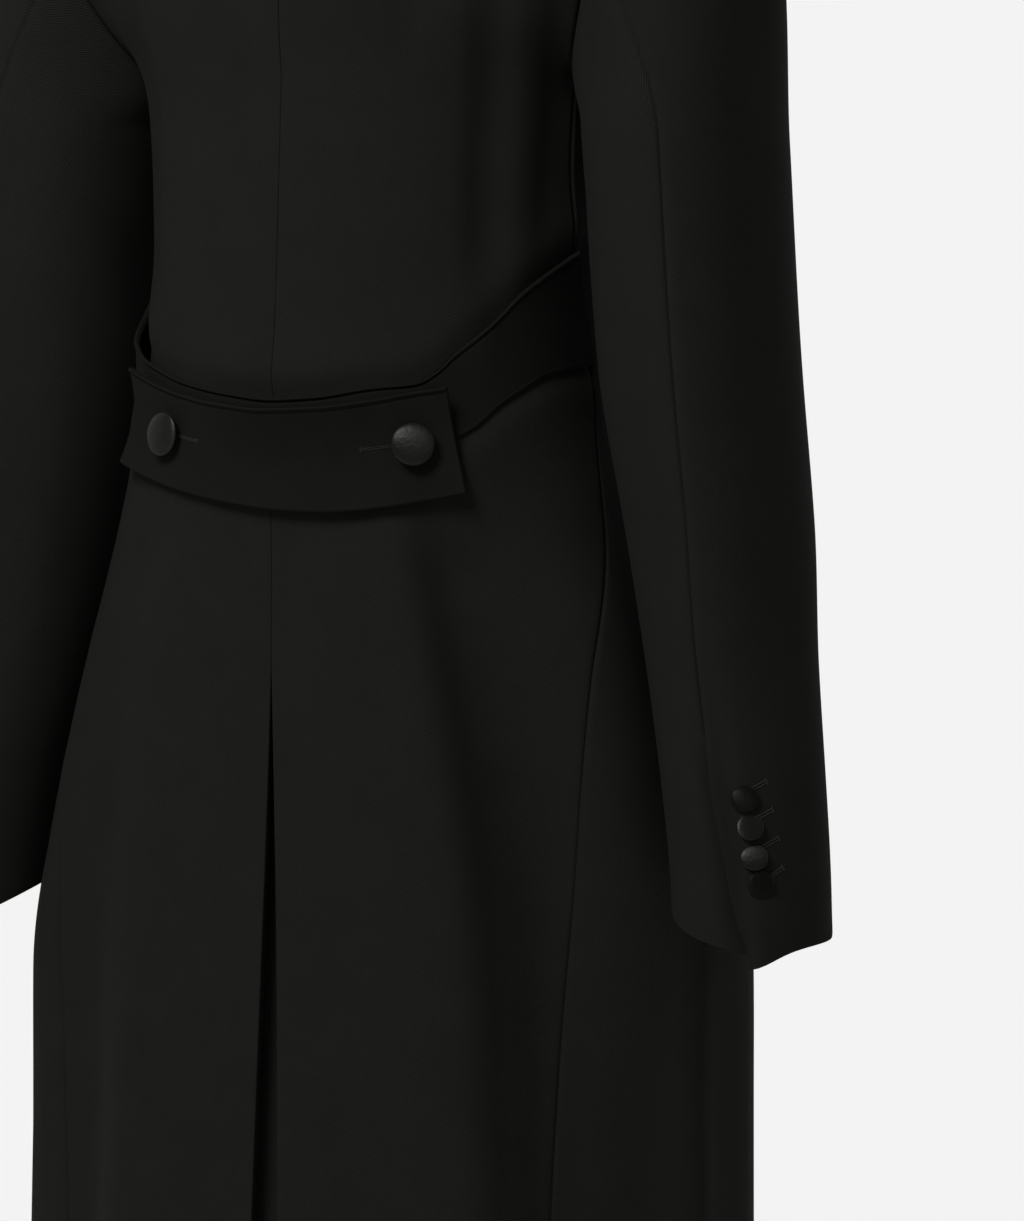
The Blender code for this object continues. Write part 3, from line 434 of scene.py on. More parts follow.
def front_lift(angle, height, side):
    """The right front stands off the left one where they lap, most of all at the break."""
    if side == LEFT:
        return 0.0
    out = body_section(height).half_width * math.sin(math.radians(angle))
    near_centre = ease((LAP_FADE - out) / (LAP_FADE - FRONT_LAP))
    return near_centre * LAP.at(height).lift


# ------------------------------------------------------------------ chest and shoulders
def armhole_rows():
    """The loop's named places; the three lowest lie on the body at the side panel."""
    rows = list(ARMHOLE_ROWS)
    foot = body_section(BLOCK_FOOT)
    for turn, angle, height in ((UNDERARM_TURNS[0], foot.back_seam, BLOCK_FOOT),
                                (180.0, UNDERARM_ANGLE, UNDERARM_HEIGHT),
                                (UNDERARM_TURNS[1], foot.front_seam, BLOCK_FOOT)):
        point = body_point(angle, height)
        rows.append((turn, -point.x, point.y, height))
    return sorted(rows)


ARMHOLE = armhole_rows()


def armhole_point(turn, side):
    """A point of the armhole's closed loop, turn in degrees from the shoulder by the back."""
    turn %= 360.0
    count = len(ARMHOLE)
    index = max(i for i in range(count) if ARMHOLE[i][0] <= turn)
    picks = [ARMHOLE[(index + k) % count] for k in (-1, 0, 1, 2)]
    turns = [ARMHOLE[(index + k) % count][0] + 360.0 * ((index + k) // count)
             for k in (-1, 0, 1, 2)]
    points = [Vector(pick[1:]) for pick in picks]
    step = turns[2] - turns[1]
    start_slope = (points[2] - points[0]) * (step / (turns[2] - turns[0]))
    end_slope = (points[3] - points[1]) * (step / (turns[3] - turns[1]))
    point = hermite(points[1], points[2], start_slope, end_slope, (turn - turns[1]) / step)
    return mirrored(point, side)


def bezier(points, share):
    """A point on the Bezier curve of any number of control points."""
    points = list(points)
    while len(points) > 1:
        points = [blend(a, b, share) for a, b in zip(points, points[1:])]
    return points[0]


def coons(foot, top, centre, armhole, across, rise):
    """A smooth patch through its four edges, each given as a function of 0 to 1."""
    ruled = blend(foot(across), top(across), rise) + blend(centre(rise), armhole(rise), across)
    corners = blend(blend(foot(0.0), foot(1.0), across), blend(top(0.0), top(1.0), across), rise)
    return ruled - corners


NECK_SHARE = 0.4            # of the patch's top edge; the rest is the shoulder seam


def shoulder_seam(share, side):
    return mirrored(blend(NECK_SIDE, SHOULDER, share), side)


def back_top(across, side):
    if across >= NECK_SHARE:
        return shoulder_seam((across - NECK_SHARE) / (1.0 - NECK_SHARE), side)
    turn = math.radians(90.0 * across / NECK_SHARE)
    return mirrored(Vector((NECK_SIDE.x * math.sin(turn),
                            blend(NECK_SIDE.y, NAPE.y, math.cos(turn)),
                            blend(NAPE.z, NECK_SIDE.z, math.sin(turn) ** 2))), side)


def front_top(across, side):
    if across >= NECK_SHARE:
        return shoulder_seam((across - NECK_SHARE) / (1.0 - NECK_SHARE), side)
    return mirrored(blend(GORGE, NECK_SIDE, across / NECK_SHARE), side)


def back_block(across, rise, side):
    """The back between the armhole's foot and the shoulder."""
    seam = body_section(BLOCK_FOOT).back_seam
    centre_foot = body_point(0.0, BLOCK_FOOT)
    return coons(lambda s: body_point(side_angle(s * seam, side), BLOCK_FOOT),
                 lambda s: back_top(s, side),
                 lambda s: bezier((centre_foot, *CENTRE_BACK_CONTROL, NAPE), s),
                 lambda s: armhole_point(UNDERARM_TURNS[0] * (1.0 - s), side),
                 across, rise) + mirrored(BACK_FULLNESS, side) * dome(across, rise)


def front_block(across, rise, side):
    """The chest between the armhole's foot and the shoulder."""
    seam = body_section(BLOCK_FOOT).front_seam
    edge = front_edge_angle(BLOCK_FOOT)
    edge_foot = body_point(side_angle(edge, side), BLOCK_FOOT)
    return coons(lambda s: body_point(side_angle(blend(edge, seam, s), side), BLOCK_FOOT),
                 lambda s: front_top(s, side),
                 lambda s: bezier((edge_foot, mirrored(ROLL_LINE_CONTROL, side),
                                   mirrored(GORGE, side)), s),
                 lambda s: armhole_point(blend(UNDERARM_TURNS[1], 360.0, s), side),
                 across, rise) + mirrored(CHEST_FULLNESS, side) * dome(across, rise)


def dome(across, rise):
    return math.sin(math.pi * across) * math.sin(math.pi * rise)


# ------------------------------------------------------------------ sleeve
def sleeve_ring(angle, height, side, lift=0.0):
    """A point of the sleeve's outer surface; angle 0 to the back, 90 outwards."""
    ring = SLEEVE.at(height)
    sine, cosine = math.sin(math.radians(angle)), math.cos(math.radians(angle))
    out = ring.out + (ring.half_width + lift) * sine
    fore = ring.fore + (ring.half_depth + lift) * cosine
    return Vector((side * out, fore, height))


def cuff_height(angle, elbow, top_piece):
    """Height of the cuff's edge, which ends in a point at the vent, mostly the top sleeve's."""
    height = CUFF_HEIGHT - CUFF_TILT * math.cos(math.radians(angle - CUFF_LOW_ANGLE))
    if elbow < angle < elbow + 90.0:
        height += CUFF_STRAIGHT * math.sin(math.radians(2.0 * (angle - elbow)))
    reach = CUFF_POINT_REACH if top_piece else CUFF_POINT_REACH / 3
    return height - CUFF_POINT * math.exp(-((angle - elbow) / reach) ** 2)


def seam_to_angle(share, ring, top_piece):
    """From a share of a sleeve piece's width to the angle round the ring."""
    if top_piece:
        return blend(ring.forearm, ring.elbow, share)
    return blend(ring.elbow, ring.forearm - 360.0, share)


# ------------------------------------------------------------------ the cloth's folds
def creases_lift(creases, angle, height):
    """How far a set of soft troughs and ridges moves the cloth at this place."""
    lift = 0.0
    for crease in creases:
        if not crease.foot < height < crease.top:
            continue
        fall, middle, offset = along_line(crease, angle, height)
        span = crease.outer_span if offset * middle > 0.0 else crease.inner_span
        if abs(offset) < span:
            lift += (crease.depth * hump(offset, span) * ease(fall / crease.fade_top)
                     * ease((1.0 - fall) / crease.fade_foot))
    return lift


def belt_lift(angle, height):
    """The back eases out above and below the half belt that draws it in."""
    share = angle / body_section(height).back_seam
    near = ease((1.0 + BLOUSE_FADE - abs(share)) / BLOUSE_FADE)
    if near == 0.0:
        return 0.0
    edge = BELT.at(share)
    if height > edge.top:
        away = (height - edge.top) / BLOUSE_REACH
        return near * BLOUSE * (away * math.exp(1.0 - away)) ** 2
    if height < edge.foot:
        away = (edge.foot - height) / BLOUSE_REACH
        return near * FLARE * (away * math.exp(1.0 - away)) ** 2
    return 0.0


def body_lift(angle, height):
    return creases_lift(CREASES, angle, height) + belt_lift(angle, height)


def seam_lift(distance):
    """A pressed seam dips at its line, with a low ridge beside it."""
    dip = SEAM_SINK * math.exp(-(distance / SEAM_REACH) ** 2)
    ridge = SEAM_RIDGE * math.exp(-((distance - SEAM_RIDGE_AT) / SEAM_RIDGE_WIDTH) ** 2)
    return ridge - dip


def shares(width, count, near=True, far=True):
    """Shares of a width for columns that crowd together at a seam."""
    first = [step / width for step in EDGE_STEPS] if near else [0.0]
    last = [1.0 - step / width for step in reversed(EDGE_STEPS)] if far else [1.0]
    between = [blend(first[-1], last[0], k / count) for k in range(1, count)]
    return first + between + last


def arc_width(first, last, height):
    """Length of the body's outline between two angles."""
    steps = 6
    points = [body_point(blend(first, last, k / steps), height) for k in range(steps + 1)]
    return sum((b - a).length for a, b in zip(points, points[1:]))


def surface_normals(grid):
    """Unit normals of a grid of points, before their side is chosen."""
    down = np.gradient(grid, axis=0)
    along = np.gradient(grid, axis=1)
    normals = np.cross(along, down)
    lengths = np.linalg.norm(normals, axis=2, keepdims=True)
    return normals / np.maximum(lengths, 1e-12)


def raised(points, lifts, outward):
    """The grid moved along its normals by the lifts; outward is any vector on that side."""
    grid = np.array([[tuple(point) for point in row] for row in points])
    normals = surface_normals(grid)
    middle = normals[normals.shape[0] // 2, normals.shape[1] // 2]
    if float(np.dot(middle, np.array(outward))) < 0.0:
        normals = -normals
    return grid + normals * np.array(lifts)[:, :, None], normals


BODY_LEVELS = [HEM_HEIGHT + step for step in EDGE_STEPS[:4]]
BODY_LEVELS += list(np.arange(HEM_HEIGHT + HEM_ROW, BLOCK_FOOT, ROW_STEP)[:-1])
BLOCK_LENGTH = 0.17         # of the shoulder block, for spacing its rows
BLOCK_LEVELS = [k / BLOCK_ROWS for k in range(BLOCK_ROWS)]
BLOCK_LEVELS = [rise for rise in BLOCK_LEVELS if (1.0 - rise) * BLOCK_LENGTH > EDGE_STEPS[-1]]
BLOCK_LEVELS += [1.0 - step / BLOCK_LENGTH for step in reversed(EDGE_STEPS)]


def block_height(rise):
    """The height that the body's creases are read at, above the foot of the armhole."""
    return BLOCK_FOOT + BLOCK_LENGTH * rise


def pleat_roll(height, side):
    """Radius of the pleat's edge: a pressed seam above its top, then growing."""
    sharp = PLEAT_ROLL[LEFT]
    return blend(sharp, PLEAT_ROLL[side], ease((PLEAT_TOP - height) / PLEAT_ROLL_LENGTH))


def back_shares(height, side):
    """Pairs of across share and sink for one row, from the centre back to the side seam."""
    section = body_section(min(height, BLOCK_FOOT))
    roll = pleat_roll(height, side)
    opening = pleat_opening(height)
    pairs = []
    for step in range(PLEAT_ROLL_STEPS + 1):
        turn = math.radians(90.0 * (1.0 - step / PLEAT_ROLL_STEPS))
        out = opening + roll * (1.0 - math.sin(turn))
        angle = math.degrees(math.asin(out / section.half_width))
        pairs.append((angle / section.back_seam, -roll * (1.0 - math.cos(turn))))
    start = pairs[-1][0]
    width = arc_width(start * section.back_seam, section.back_seam, min(height, BLOCK_FOOT))
    for share in shares(width, BACK_COLUMNS, near=False)[1:]:
        pairs.append((blend(start, 1.0, share), seam_lift((1.0 - share) * width)))
    return pairs


JOIN_ROWS = 5               # rows smoothed on each side of the join
JOIN_PASSES = 12
JOIN_PULL = 0.7
JOIN_EDGE = 5               # columns at each edge that stay, and those it fades in over
JOIN_FADE = 3


def eased_join(points, row):
    """The sheet's rows smoothed where the shoulder block starts, but for its two edges."""
    grid = np.array([[tuple(point) for point in line] for line in points])
    column = np.arange(grid.shape[1])
    from_edge = np.minimum(column, grid.shape[1] - 1 - column)
    inner = np.clip((from_edge - JOIN_EDGE) / JOIN_FADE, 0.0, 1.0)[None, :, None]
    first, last = row - JOIN_ROWS, row + JOIN_ROWS + 1
    for _ in range(JOIN_PASSES):
        beside = (grid[first - 1:last - 1] + grid[first + 1:last + 1]) / 2.0
        grid[first:last] = blend(grid[first:last], beside, inner * JOIN_PULL)
    return grid


BACK_COLUMNS = 40
FRONT_COLUMNS = 44
SIDE_COLUMNS = 14


def back_sheet(side):
    """Rows from the hem up; each runs from the centre back to the side seam or armhole."""
    points, lifts = [], []
    for height in BODY_LEVELS:
        seam = body_section(height).back_seam
        pairs = back_shares(height, side)
        angles = [side_angle(across * seam, side) for across, _ in pairs]
        points.append([body_point(angle, height) for angle in angles])
        lifts.append([sink + body_lift(angle, height)
                      for angle, (_, sink) in zip(angles, pairs)])
    seam = body_section(BLOCK_FOOT).back_seam
    pairs = back_shares(BLOCK_FOOT, side)
    for rise in BLOCK_LEVELS:
        top = seam_lift((1.0 - rise) * BLOCK_LENGTH)
        points.append([back_block(across, rise, side) for across, _ in pairs])
        lifts.append([sink + top + body_lift(side_angle(across * seam, side),
                                             block_height(rise))
                      for across, sink in pairs])
    grid, normals = raised(eased_join(points, len(BODY_LEVELS)), lifts, (0.0, 1.0, 0.0))
    sewn = [pleat_opening(height) == 0.0 for height in BODY_LEVELS] + [True] * len(BLOCK_LEVELS)
    grid[np.array(sewn), 0, 0] = 0.0        # both backs meet in the centre seam
    return grid, normals


def front_sheet(side):
    """Rows from the hem up; each runs from the front edge to the side seam or armhole."""
    points, lifts = [], []
    for height in BODY_LEVELS:
        edge, seam = front_edge_angle(height), body_section(height).front_seam
        width = arc_width(edge, seam, height)
        across = shares(width, FRONT_COLUMNS)
        angles = [side_angle(blend(edge, seam, share), side) for share in across]
        points.append([body_point(angle, height, front_lift(angle, height, side))
                       for angle in angles])
        lifts.append([body_lift(angle, height) + seam_lift((1.0 - share) * width)
                      for angle, share in zip(angles, across)])
    edge, seam = front_edge_angle(BLOCK_FOOT), body_section(BLOCK_FOOT).front_seam
    width = arc_width(edge, seam, BLOCK_FOOT)
    across = shares(width, FRONT_COLUMNS)
    for rise in BLOCK_LEVELS:
        top = seam_lift((1.0 - rise) * BLOCK_LENGTH)
        points.append([front_block(share, rise, side) for share in across])
        lifts.append([top + seam_lift((1.0 - share) * width)
                      + body_lift(side_angle(blend(edge, seam, share), side), block_height(rise))
                      for share in across])
    return raised(eased_join(points, len(BODY_LEVELS)), lifts, (0.0, -1.0, 0.0))


SIDE_ROWS = 190
SIDE_LENGTH = 0.84          # of the panel, for spacing its last rows
SIDE_EASE = 0.045           # below the armhole the panel turns in to meet it over this height


def side_sheet(side):
    """Rows from the hem up; each runs from the back seam to the front seam."""
    points, lifts = [], []
    low = body_section(HEM_HEIGHT)
    across = shares(arc_width(low.back_seam, low.front_seam, HEM_HEIGHT), SIDE_COLUMNS)
    rises = [k / SIDE_ROWS for k in range(SIDE_ROWS - 1)]
    rises += [1.0 - step / SIDE_LENGTH for step in reversed(EDGE_STEPS[:5])]
    for rise in rises:
        row, lift = [], []
        for share in across:
            hole = armhole_point(blend(*UNDERARM_TURNS, share), side)
            height = blend(HEM_HEIGHT, hole.z, rise)
            section = body_section(height)
            angle = side_angle(blend(section.back_seam, section.front_seam, share), side)
            top_section = body_section(hole.z)
            top_angle = side_angle(blend(top_section.back_seam, top_section.front_seam, share),
                                   side)
            turn_in = hole - body_point(top_angle, hole.z)
            near = ease(1.0 - (hole.z - height) / SIDE_EASE)
            row.append(body_point(angle, height) + turn_in * near)
            width = arc_width(section.back_seam, section.front_seam, height)
            lift.append(body_lift(angle, height) + seam_lift(share * width)
                        + seam_lift((1.0 - share) * width)
                        + seam_lift(hole.z - height))
        points.append(row)
        lifts.append(lift)
    return raised(points, lifts, (side, 0.0, 0.0))


# ------------------------------------------------------------------ sleeves
# soft troughs and ridges of the sleeve, as for the body
SLEEVE_CREASE_ROWS = (
    (-0.120, -0.580, 48.0, 18.0, 44.0, 50.0, 0.0058, 0.15, 0.30),
    (-0.250, -0.560, -8.0, -20.0, 26.0, 26.0, -0.0016, 0.35, 0.45),
    (-0.440, -0.760, 12.0, 38.0, 26.0, 9.0, -0.0030, 0.40, 0.20),
    (-0.355, -0.455, 196.0, 250.0, 28.0, 28.0, -0.0030, 0.35, 0.45),
    (-0.385, -0.495, 250.0, 190.0, 24.0, 24.0, -0.0024, 0.40, 0.40),
    (-0.430, -0.530, 205.0, 255.0, 22.0, 22.0, -0.0018, 0.40, 0.40),
    (-0.240, -0.330, 300.0, 262.0, 26.0, 26.0, -0.0022, 0.40, 0.40),
    (-0.500, -0.640, 160.0, 175.0, 26.0, 26.0, -0.0014, 0.40, 0.40),
)
SLEEVE_CREASES = named_rows(CREASE_COLUMNS, SLEEVE_CREASE_ROWS)
SLEEVE_EASE = {RIGHT: 1.0, LEFT: 0.8}   # the left sleeve's creases are a little softer
LEFT_SHIFT = 0.012                      # and lie a little lower


def sleeve_lift(angle, height, side):
    shift = 0.0 if side == RIGHT else LEFT_SHIFT
    return SLEEVE_EASE[side] * creases_lift(SLEEVE_CREASES, angle, height + shift)


def ring_width(ring, top_piece):
    """Length round one sleeve piece, near enough for spacing its columns."""
    span = abs(ring.forearm - ring.elbow) if top_piece else 360.0 - ring.forearm + ring.elbow
    return math.radians(span) * (ring.half_width + ring.half_depth) / 2


def vent_share(height):
    """How far the vent is open: 0 where the elbow seam is sewn, 1 along the vent."""
    return ease((VENT_TOP - height) / VENT_OPENING)


SLEEVE_COLUMNS_COUNT = {True: 36, False: 26}            # of the top and the under sleeve
SLEEVE_CAP_ROWS = 26
SLEEVE_ARM_ROWS = 104
CAP_REACH = 0.10            # of the sleeve's head, for spacing its first rows
CAP_SPRING = (0.95, 0.16, 0.75)         # how the head leaves the armhole: out, aft and up
CAP_TANGENT = 0.01          # it runs on towards a ring this far below its foot
ARM_LENGTH = 0.43           # below the head, for spacing its last rows
ARMHOLE_TUCK = (0.0045, 0.0030, 0.0015)     # the sleeve's seam allowance, turned in
UNDERLAP_REACH = 0.020      # how far round the under sleeve is drawn under the top one
UNDERLAP_STEP = 0.007       # over this width it steps down to lie there
UNDERLAP_CUT = 0.006        # and over this one its edge rises to the shorter cut


def cap_rows(side, top_piece, across, width):
    """Points and lifts of the sleeve's head, from inside the armhole to the first full ring."""
    first, last = (FOREARM_TURN, 360.0 + ELBOW_TURN) if top_piece else (ELBOW_TURN, FOREARM_TURN)
    ring, next_ring = SLEEVE.at(CAP_FOOT), SLEEVE.at(CAP_FOOT - CAP_TANGENT)
    out, aft, up = CAP_SPRING
    rises = [-step / CAP_REACH for step in ARMHOLE_TUCK]
    rises += [step / CAP_REACH for step in EDGE_STEPS]
    rises += [k / SLEEVE_CAP_ROWS for k in range(2, SLEEVE_CAP_ROWS)]
    points, lifts = [], []
    for rise in rises:
        row, lift = [], []
        for share in across:
            turn = blend(first, last, share)
            angle = seam_to_angle(share, ring, top_piece)
            ring_point = sleeve_ring(angle, CAP_FOOT, side)
            below = sleeve_ring(seam_to_angle(share, next_ring, top_piece),
                                CAP_FOOT - CAP_TANGENT, side)
            hole = armhole_point(turn, side)
            reach = (ring_point - hole).length
            over = 0.5 + 0.5 * math.cos(math.radians(turn))
            away = Vector((side * out * over, aft * math.sin(math.radians(turn)),
                           up * over - 1.0)) * reach
            row.append(hermite(hole, ring_point, away, (below - ring_point).normalized() * reach,
                               rise))
            to_seam = min(share, 1.0 - share) * width
            tuck = -(WALL + SEAM_GAP) * ease(-rise * CAP_REACH / ARMHOLE_TUCK[-1])
            lift.append(seam_lift(to_seam) + seam_lift(max(0.0, rise) * CAP_REACH) + tuck
                        + sleeve_lift(angle, blend(hole.z, CAP_FOOT, rise), side))
        points.append(row)
        lifts.append(lift)
    return points, lifts


def arm_rows(side, top_piece, across):
    """Points and lifts from the first full ring to the cuff, with the vent in the elbow seam."""
    cuff = SLEEVE.at(CUFF_HEIGHT)
    falls = [k / SLEEVE_ARM_ROWS for k in range(SLEEVE_ARM_ROWS)]
    falls += [1.0 - step / ARM_LENGTH for step in reversed(EDGE_STEPS[:4])]
    points, lifts = [], []
    for fall in falls:
        row, lift = [], []
        for share in across:
            cuff_angle = seam_to_angle(share, cuff, top_piece)
            height = blend(CAP_FOOT, cuff_height(cuff_angle, cuff.elbow, top_piece), fall)
            ring = SLEEVE.at(height)
            wide = ring_width(ring, top_piece)
            opened = vent_share(height)
            to_elbow = ((1.0 - share) if top_piece else share) * wide
            to_forearm = wide - to_elbow
            angle = seam_to_angle(share, ring, top_piece)
            if top_piece:
                raise_by = (blend(ELBOW_STEP, VENT_LIFT, opened)
                            * math.exp(-(to_elbow / VENT_REACH) ** 2))
            else:
                slide = opened * VENT_UNDERLAP * math.exp(-(to_elbow / UNDERLAP_REACH) ** 2)
                angle += math.degrees(slide / ring.half_depth)
                past = ease((slide - to_elbow + UNDERLAP_STEP) / UNDERLAP_STEP) * opened
                raise_by = -(WALL + VENT_TUCK) * past
                height += VENT_SHORT * ease((slide - to_elbow) / UNDERLAP_CUT)
            row.append(sleeve_ring(angle, height, side))
            lift.append(raise_by + seam_lift(to_forearm) + (1.0 - opened) * seam_lift(to_elbow)
                        + sleeve_lift(angle, height, side))
        points.append(row)
        lifts.append(lift)
    return points, lifts


def sleeve_sheet(side, top_piece):
    """Rows from the armhole down to the cuff; each runs between the forearm and elbow seams."""
    width = ring_width(SLEEVE.at(CAP_FOOT), top_piece)
    across = shares(width, SLEEVE_COLUMNS_COUNT[top_piece])
    cap_points, cap_lifts = cap_rows(side, top_piece, across, width)
    arm_points, arm_lifts = arm_rows(side, top_piece, across)
    outward = (side, 0.0, 0.0) if top_piece else (-side, 0.0, 0.0)
    return raised(cap_points + arm_points, cap_lifts + arm_lifts, outward)


# ------------------------------------------------------------------ half belt and pleat
EDGE_ROUND = 0.0009         # a turned edge rounds off by this much, over this width,
EDGE_ROUND_WIDTH = 0.0012
EDGE_BEAD = 0.0009          # and is fuller between its rim and its stitching
EDGE_BEAD_WIDTH = 0.0009
STITCH_AT = 0.0024          # the edge stitching draws a groove this far in
STITCH_SINK = 0.0009
STITCH_SINK_WIDTH = 0.0006
LOWER_STITCH = 0.10         # the lower edges and the ends are pressed flatter
BELT_EDGE_STEPS = (0.0, 0.0003, 0.0007, 0.0011, 0.0015, 0.0018, 0.0021, 0.0024, 0.0027,
                   0.0031, 0.0036, 0.0046)


def edge_lift(distance, stitched=1.0):
    """A turned and stitched edge: rounded at its rim, with a groove where it is stitched."""
    rim = EDGE_ROUND * max(0.0, 1.0 - distance / EDGE_ROUND_WIDTH) ** 2
    bead = EDGE_BEAD * math.exp(-((distance - STITCH_AT / 2) / EDGE_BEAD_WIDTH) ** 2)
    groove = STITCH_SINK * math.exp(-((distance - STITCH_AT) / STITCH_SINK_WIDTH) ** 2)
    return stitched * (bead - groove) - rim


def edge_shares(width, count):
    """Shares across a band, with rows crowded at both stitched edges."""
    first = [step / width for step in BELT_EDGE_STEPS]
    last = [1.0 - share for share in reversed(first)]
    return first + [blend(first[-1], last[0], k / count) for k in range(1, count)] + last


BELT_AWAY = 0.0042          # under the tab's left end the belt stands off with it,
BELT_AWAY_FROM = -36.0      # between these angles
BELT_AWAY_TO = -84.0
BELT_AWAY_FADE = 20.0
BELT_FREE_MIDDLE = -4.0     # the tab covers the belt on both sides of this angle,
BELT_FREE_FROM = 50.0       # for this many degrees each way
BELT_FREE_FADE = 10.0
BELT_LEAN = 0.0030          # beyond the tab the belt's upper edge stands off the back
TAB_LEAN = 0.0055           # and so does the tab's, above its buttons,
TAB_BOW = 0.0135            # and more between them
TAB_LEAN_DOWN = 0.42        # down to these shares of its width
TAB_BOW_DOWN = 0.60
TAB_MIDDLE = 1.8            # degrees from the centre back
TAB_BOW_REACH = 24.0
TAB_FLICK = 0.0028          # its lower edge stands off a little too, from this share down
TAB_FLICK_FROM = 0.62
TAB_COLUMNS_COUNT = 110
TAB_CROSS = 12
BELT_COLUMNS_COUNT = 150
BELT_CROSS = 10


def belt_sheet():
    """The lower belt from its top edge down; each row runs from one side seam to the other."""
    middle = BELT.at(0.0)
    width = middle.top - middle.foot
    points, lifts = [], []
    for down in edge_shares(width, BELT_CROSS):
        row, lift = [], []
        for k in range(BELT_COLUMNS_COUNT + 1):
            share = 2.0 * k / BELT_COLUMNS_COUNT - 1.0
            edge = BELT.at(share)
            height = blend(edge.top, edge.foot, down)
            angle = share * (body_section(height).back_seam - BELT_END_INSET)
            row.append(body_point(angle, height, BELT_CLEAR + BELT_WALL))
            free = ease((abs(angle - BELT_FREE_MIDDLE) - BELT_FREE_FROM) / BELT_FREE_FADE)
            away = (BELT_AWAY * ease((BELT_AWAY_FROM - angle) / BELT_AWAY_FADE)
                    * ease((angle - BELT_AWAY_TO) / BELT_AWAY_FADE))
            stitched = 1.0 if down < 0.5 else LOWER_STITCH
            lift.append(creases_lift(CREASES, angle, height) + away
                        + edge_lift(min(down, 1.0 - down) * width, stitched)
                        + free * BELT_LEAN * (1.0 - down) ** 2)
        points.append(row)
        lifts.append(lift)
    return raised(points, lifts, (0.0, 1.0, 0.0))


def tab_point(angle, down, lift=0.0):
    """A point of the buttoned tab's outer face; down runs from its top edge to its foot."""
    edge = TAB.at(angle)
    height = blend(edge.top, edge.foot, down)
    share = (angle - TAB[0].angle) / (TAB[-1].angle - TAB[0].angle)
    angle += TAB_SLANT * (down - 0.5) * ease(share)
    rise = BELT_CLEAR + BELT_WALL + TAB_CLEAR + TAB_WALL + edge.stand_off
    return body_point(angle, height, rise + lift + creases_lift(CREASES, angle, height))


TAB_LENGTH = 0.235
TAB_WIDTH = 0.055


def tab_sheet():
    points, lifts = [], []
    first, last = TAB[0].angle, TAB[-1].angle
    for down in edge_shares(TAB_WIDTH, TAB_CROSS):
        row, lift = [], []
        for share in edge_shares(TAB_LENGTH, TAB_COLUMNS_COUNT):
            angle = blend(first, last, share)
            row.append(tab_point(angle, down))
            bow = max(0.0, 1.0 - ((angle - TAB_MIDDLE) / TAB_BOW_REACH) ** 2)
            leaning = max(0.0, 1.0 - down / blend(TAB_LEAN_DOWN, TAB_BOW_DOWN, bow)) ** 1.5
            to_top = down * TAB_WIDTH
            to_edge = min(to_top, (1.0 - down) * TAB_WIDTH, min(share, 1.0 - share) * TAB_LENGTH)
            stitched = 1.0 if to_top == to_edge else LOWER_STITCH
            lift.append(edge_lift(to_edge, stitched) + blend(TAB_LEAN, TAB_BOW, bow) * leaning
                        + TAB_FLICK * max(0.0, (down - TAB_FLICK_FROM)
                                          / (1.0 - TAB_FLICK_FROM)) ** 1.6)
        points.append(row)
        lifts.append(lift)
    return raised(points, lifts, (0.0, 1.0, 0.0))


PLEAT_OVER = 0.012          # the hidden cloth reaches this far above the pleat's top
PLEAT_SHUT_FROM = 0.004     # and is drawn flat from this far below it, over this height
PLEAT_SHUT_FADE = 0.014
PLEAT_BEHIND = 0.0008       # how far inside the back it starts
PLEAT_INSET = (0.0010, 0.0014)          # and how far out from the pleat's edge
PLEAT_ROLL_CLEAR = 0.0006               # it keeps this far inside the rolled edge


def pleat_sheet():
    """The pleat's hidden cloth: two flanks folded in and the underlay between them."""
    points = []
    levels = [height for height in BODY_LEVELS if height < PLEAT_TOP + PLEAT_OVER]
    for height in levels:
        section = body_section(height)
        opening = pleat_opening(height)
        places = []
        shut = ease((height - PLEAT_TOP + PLEAT_SHUT_FROM) / PLEAT_SHUT_FADE)
        for side in (LEFT, RIGHT):
            start = pleat_roll(height, side) + PLEAT_ROLL_CLEAR
            half = [(opening + PLEAT_INSET[0], max(WALL + PLEAT_BEHIND, start)),
                    (opening + PLEAT_INSET[1], PLEAT_DEPTH * 0.5),
                    (opening + PLEAT_FLANK * 0.6, PLEAT_DEPTH * 0.82),
                    (opening + PLEAT_FLANK, PLEAT_DEPTH * 0.93),
                    (opening * 0.5 + PLEAT_FLANK * 0.5, PLEAT_DEPTH * 1.04)]
            places.append([(side * out, depth) for out, depth in half])
        line = places[1] + [(0.0, PLEAT_DEPTH * 1.1)] + places[0][::-1]
        line = [(out, blend(depth, WALL + PLEAT_BEHIND, shut)) for out, depth in line]
        row = []
        for out, depth in line:
            fore = section.back_depth * math.sqrt(1.0 - (out / section.half_width) ** 2)
            row.append(Vector((out, fore - depth, height)))
        points.append(row)
    return raised(points, np.zeros((len(points), len(points[0]))), (0.0, 1.0, 0.0))


# ------------------------------------------------------------------ collar and lapels
COLLAR_COLUMNS_COUNT = 60
COLLAR_PROFILE_STEPS = 32
COLLAR_TURN_IN = 0.0045     # its seam allowance, turned down inside the neck
COLLAR_INSET = (0.0024, 0.0021, 0.0015)     # how far inside the neckline the stand keeps
COLLAR_FOOT_RISE = 0.0008
COLLAR_SWELL = 0.0022       # how far the fall's middle stands out
COLLAR_LANDING = LAY + 0.0023           # how high the fall's edge lies over the panels


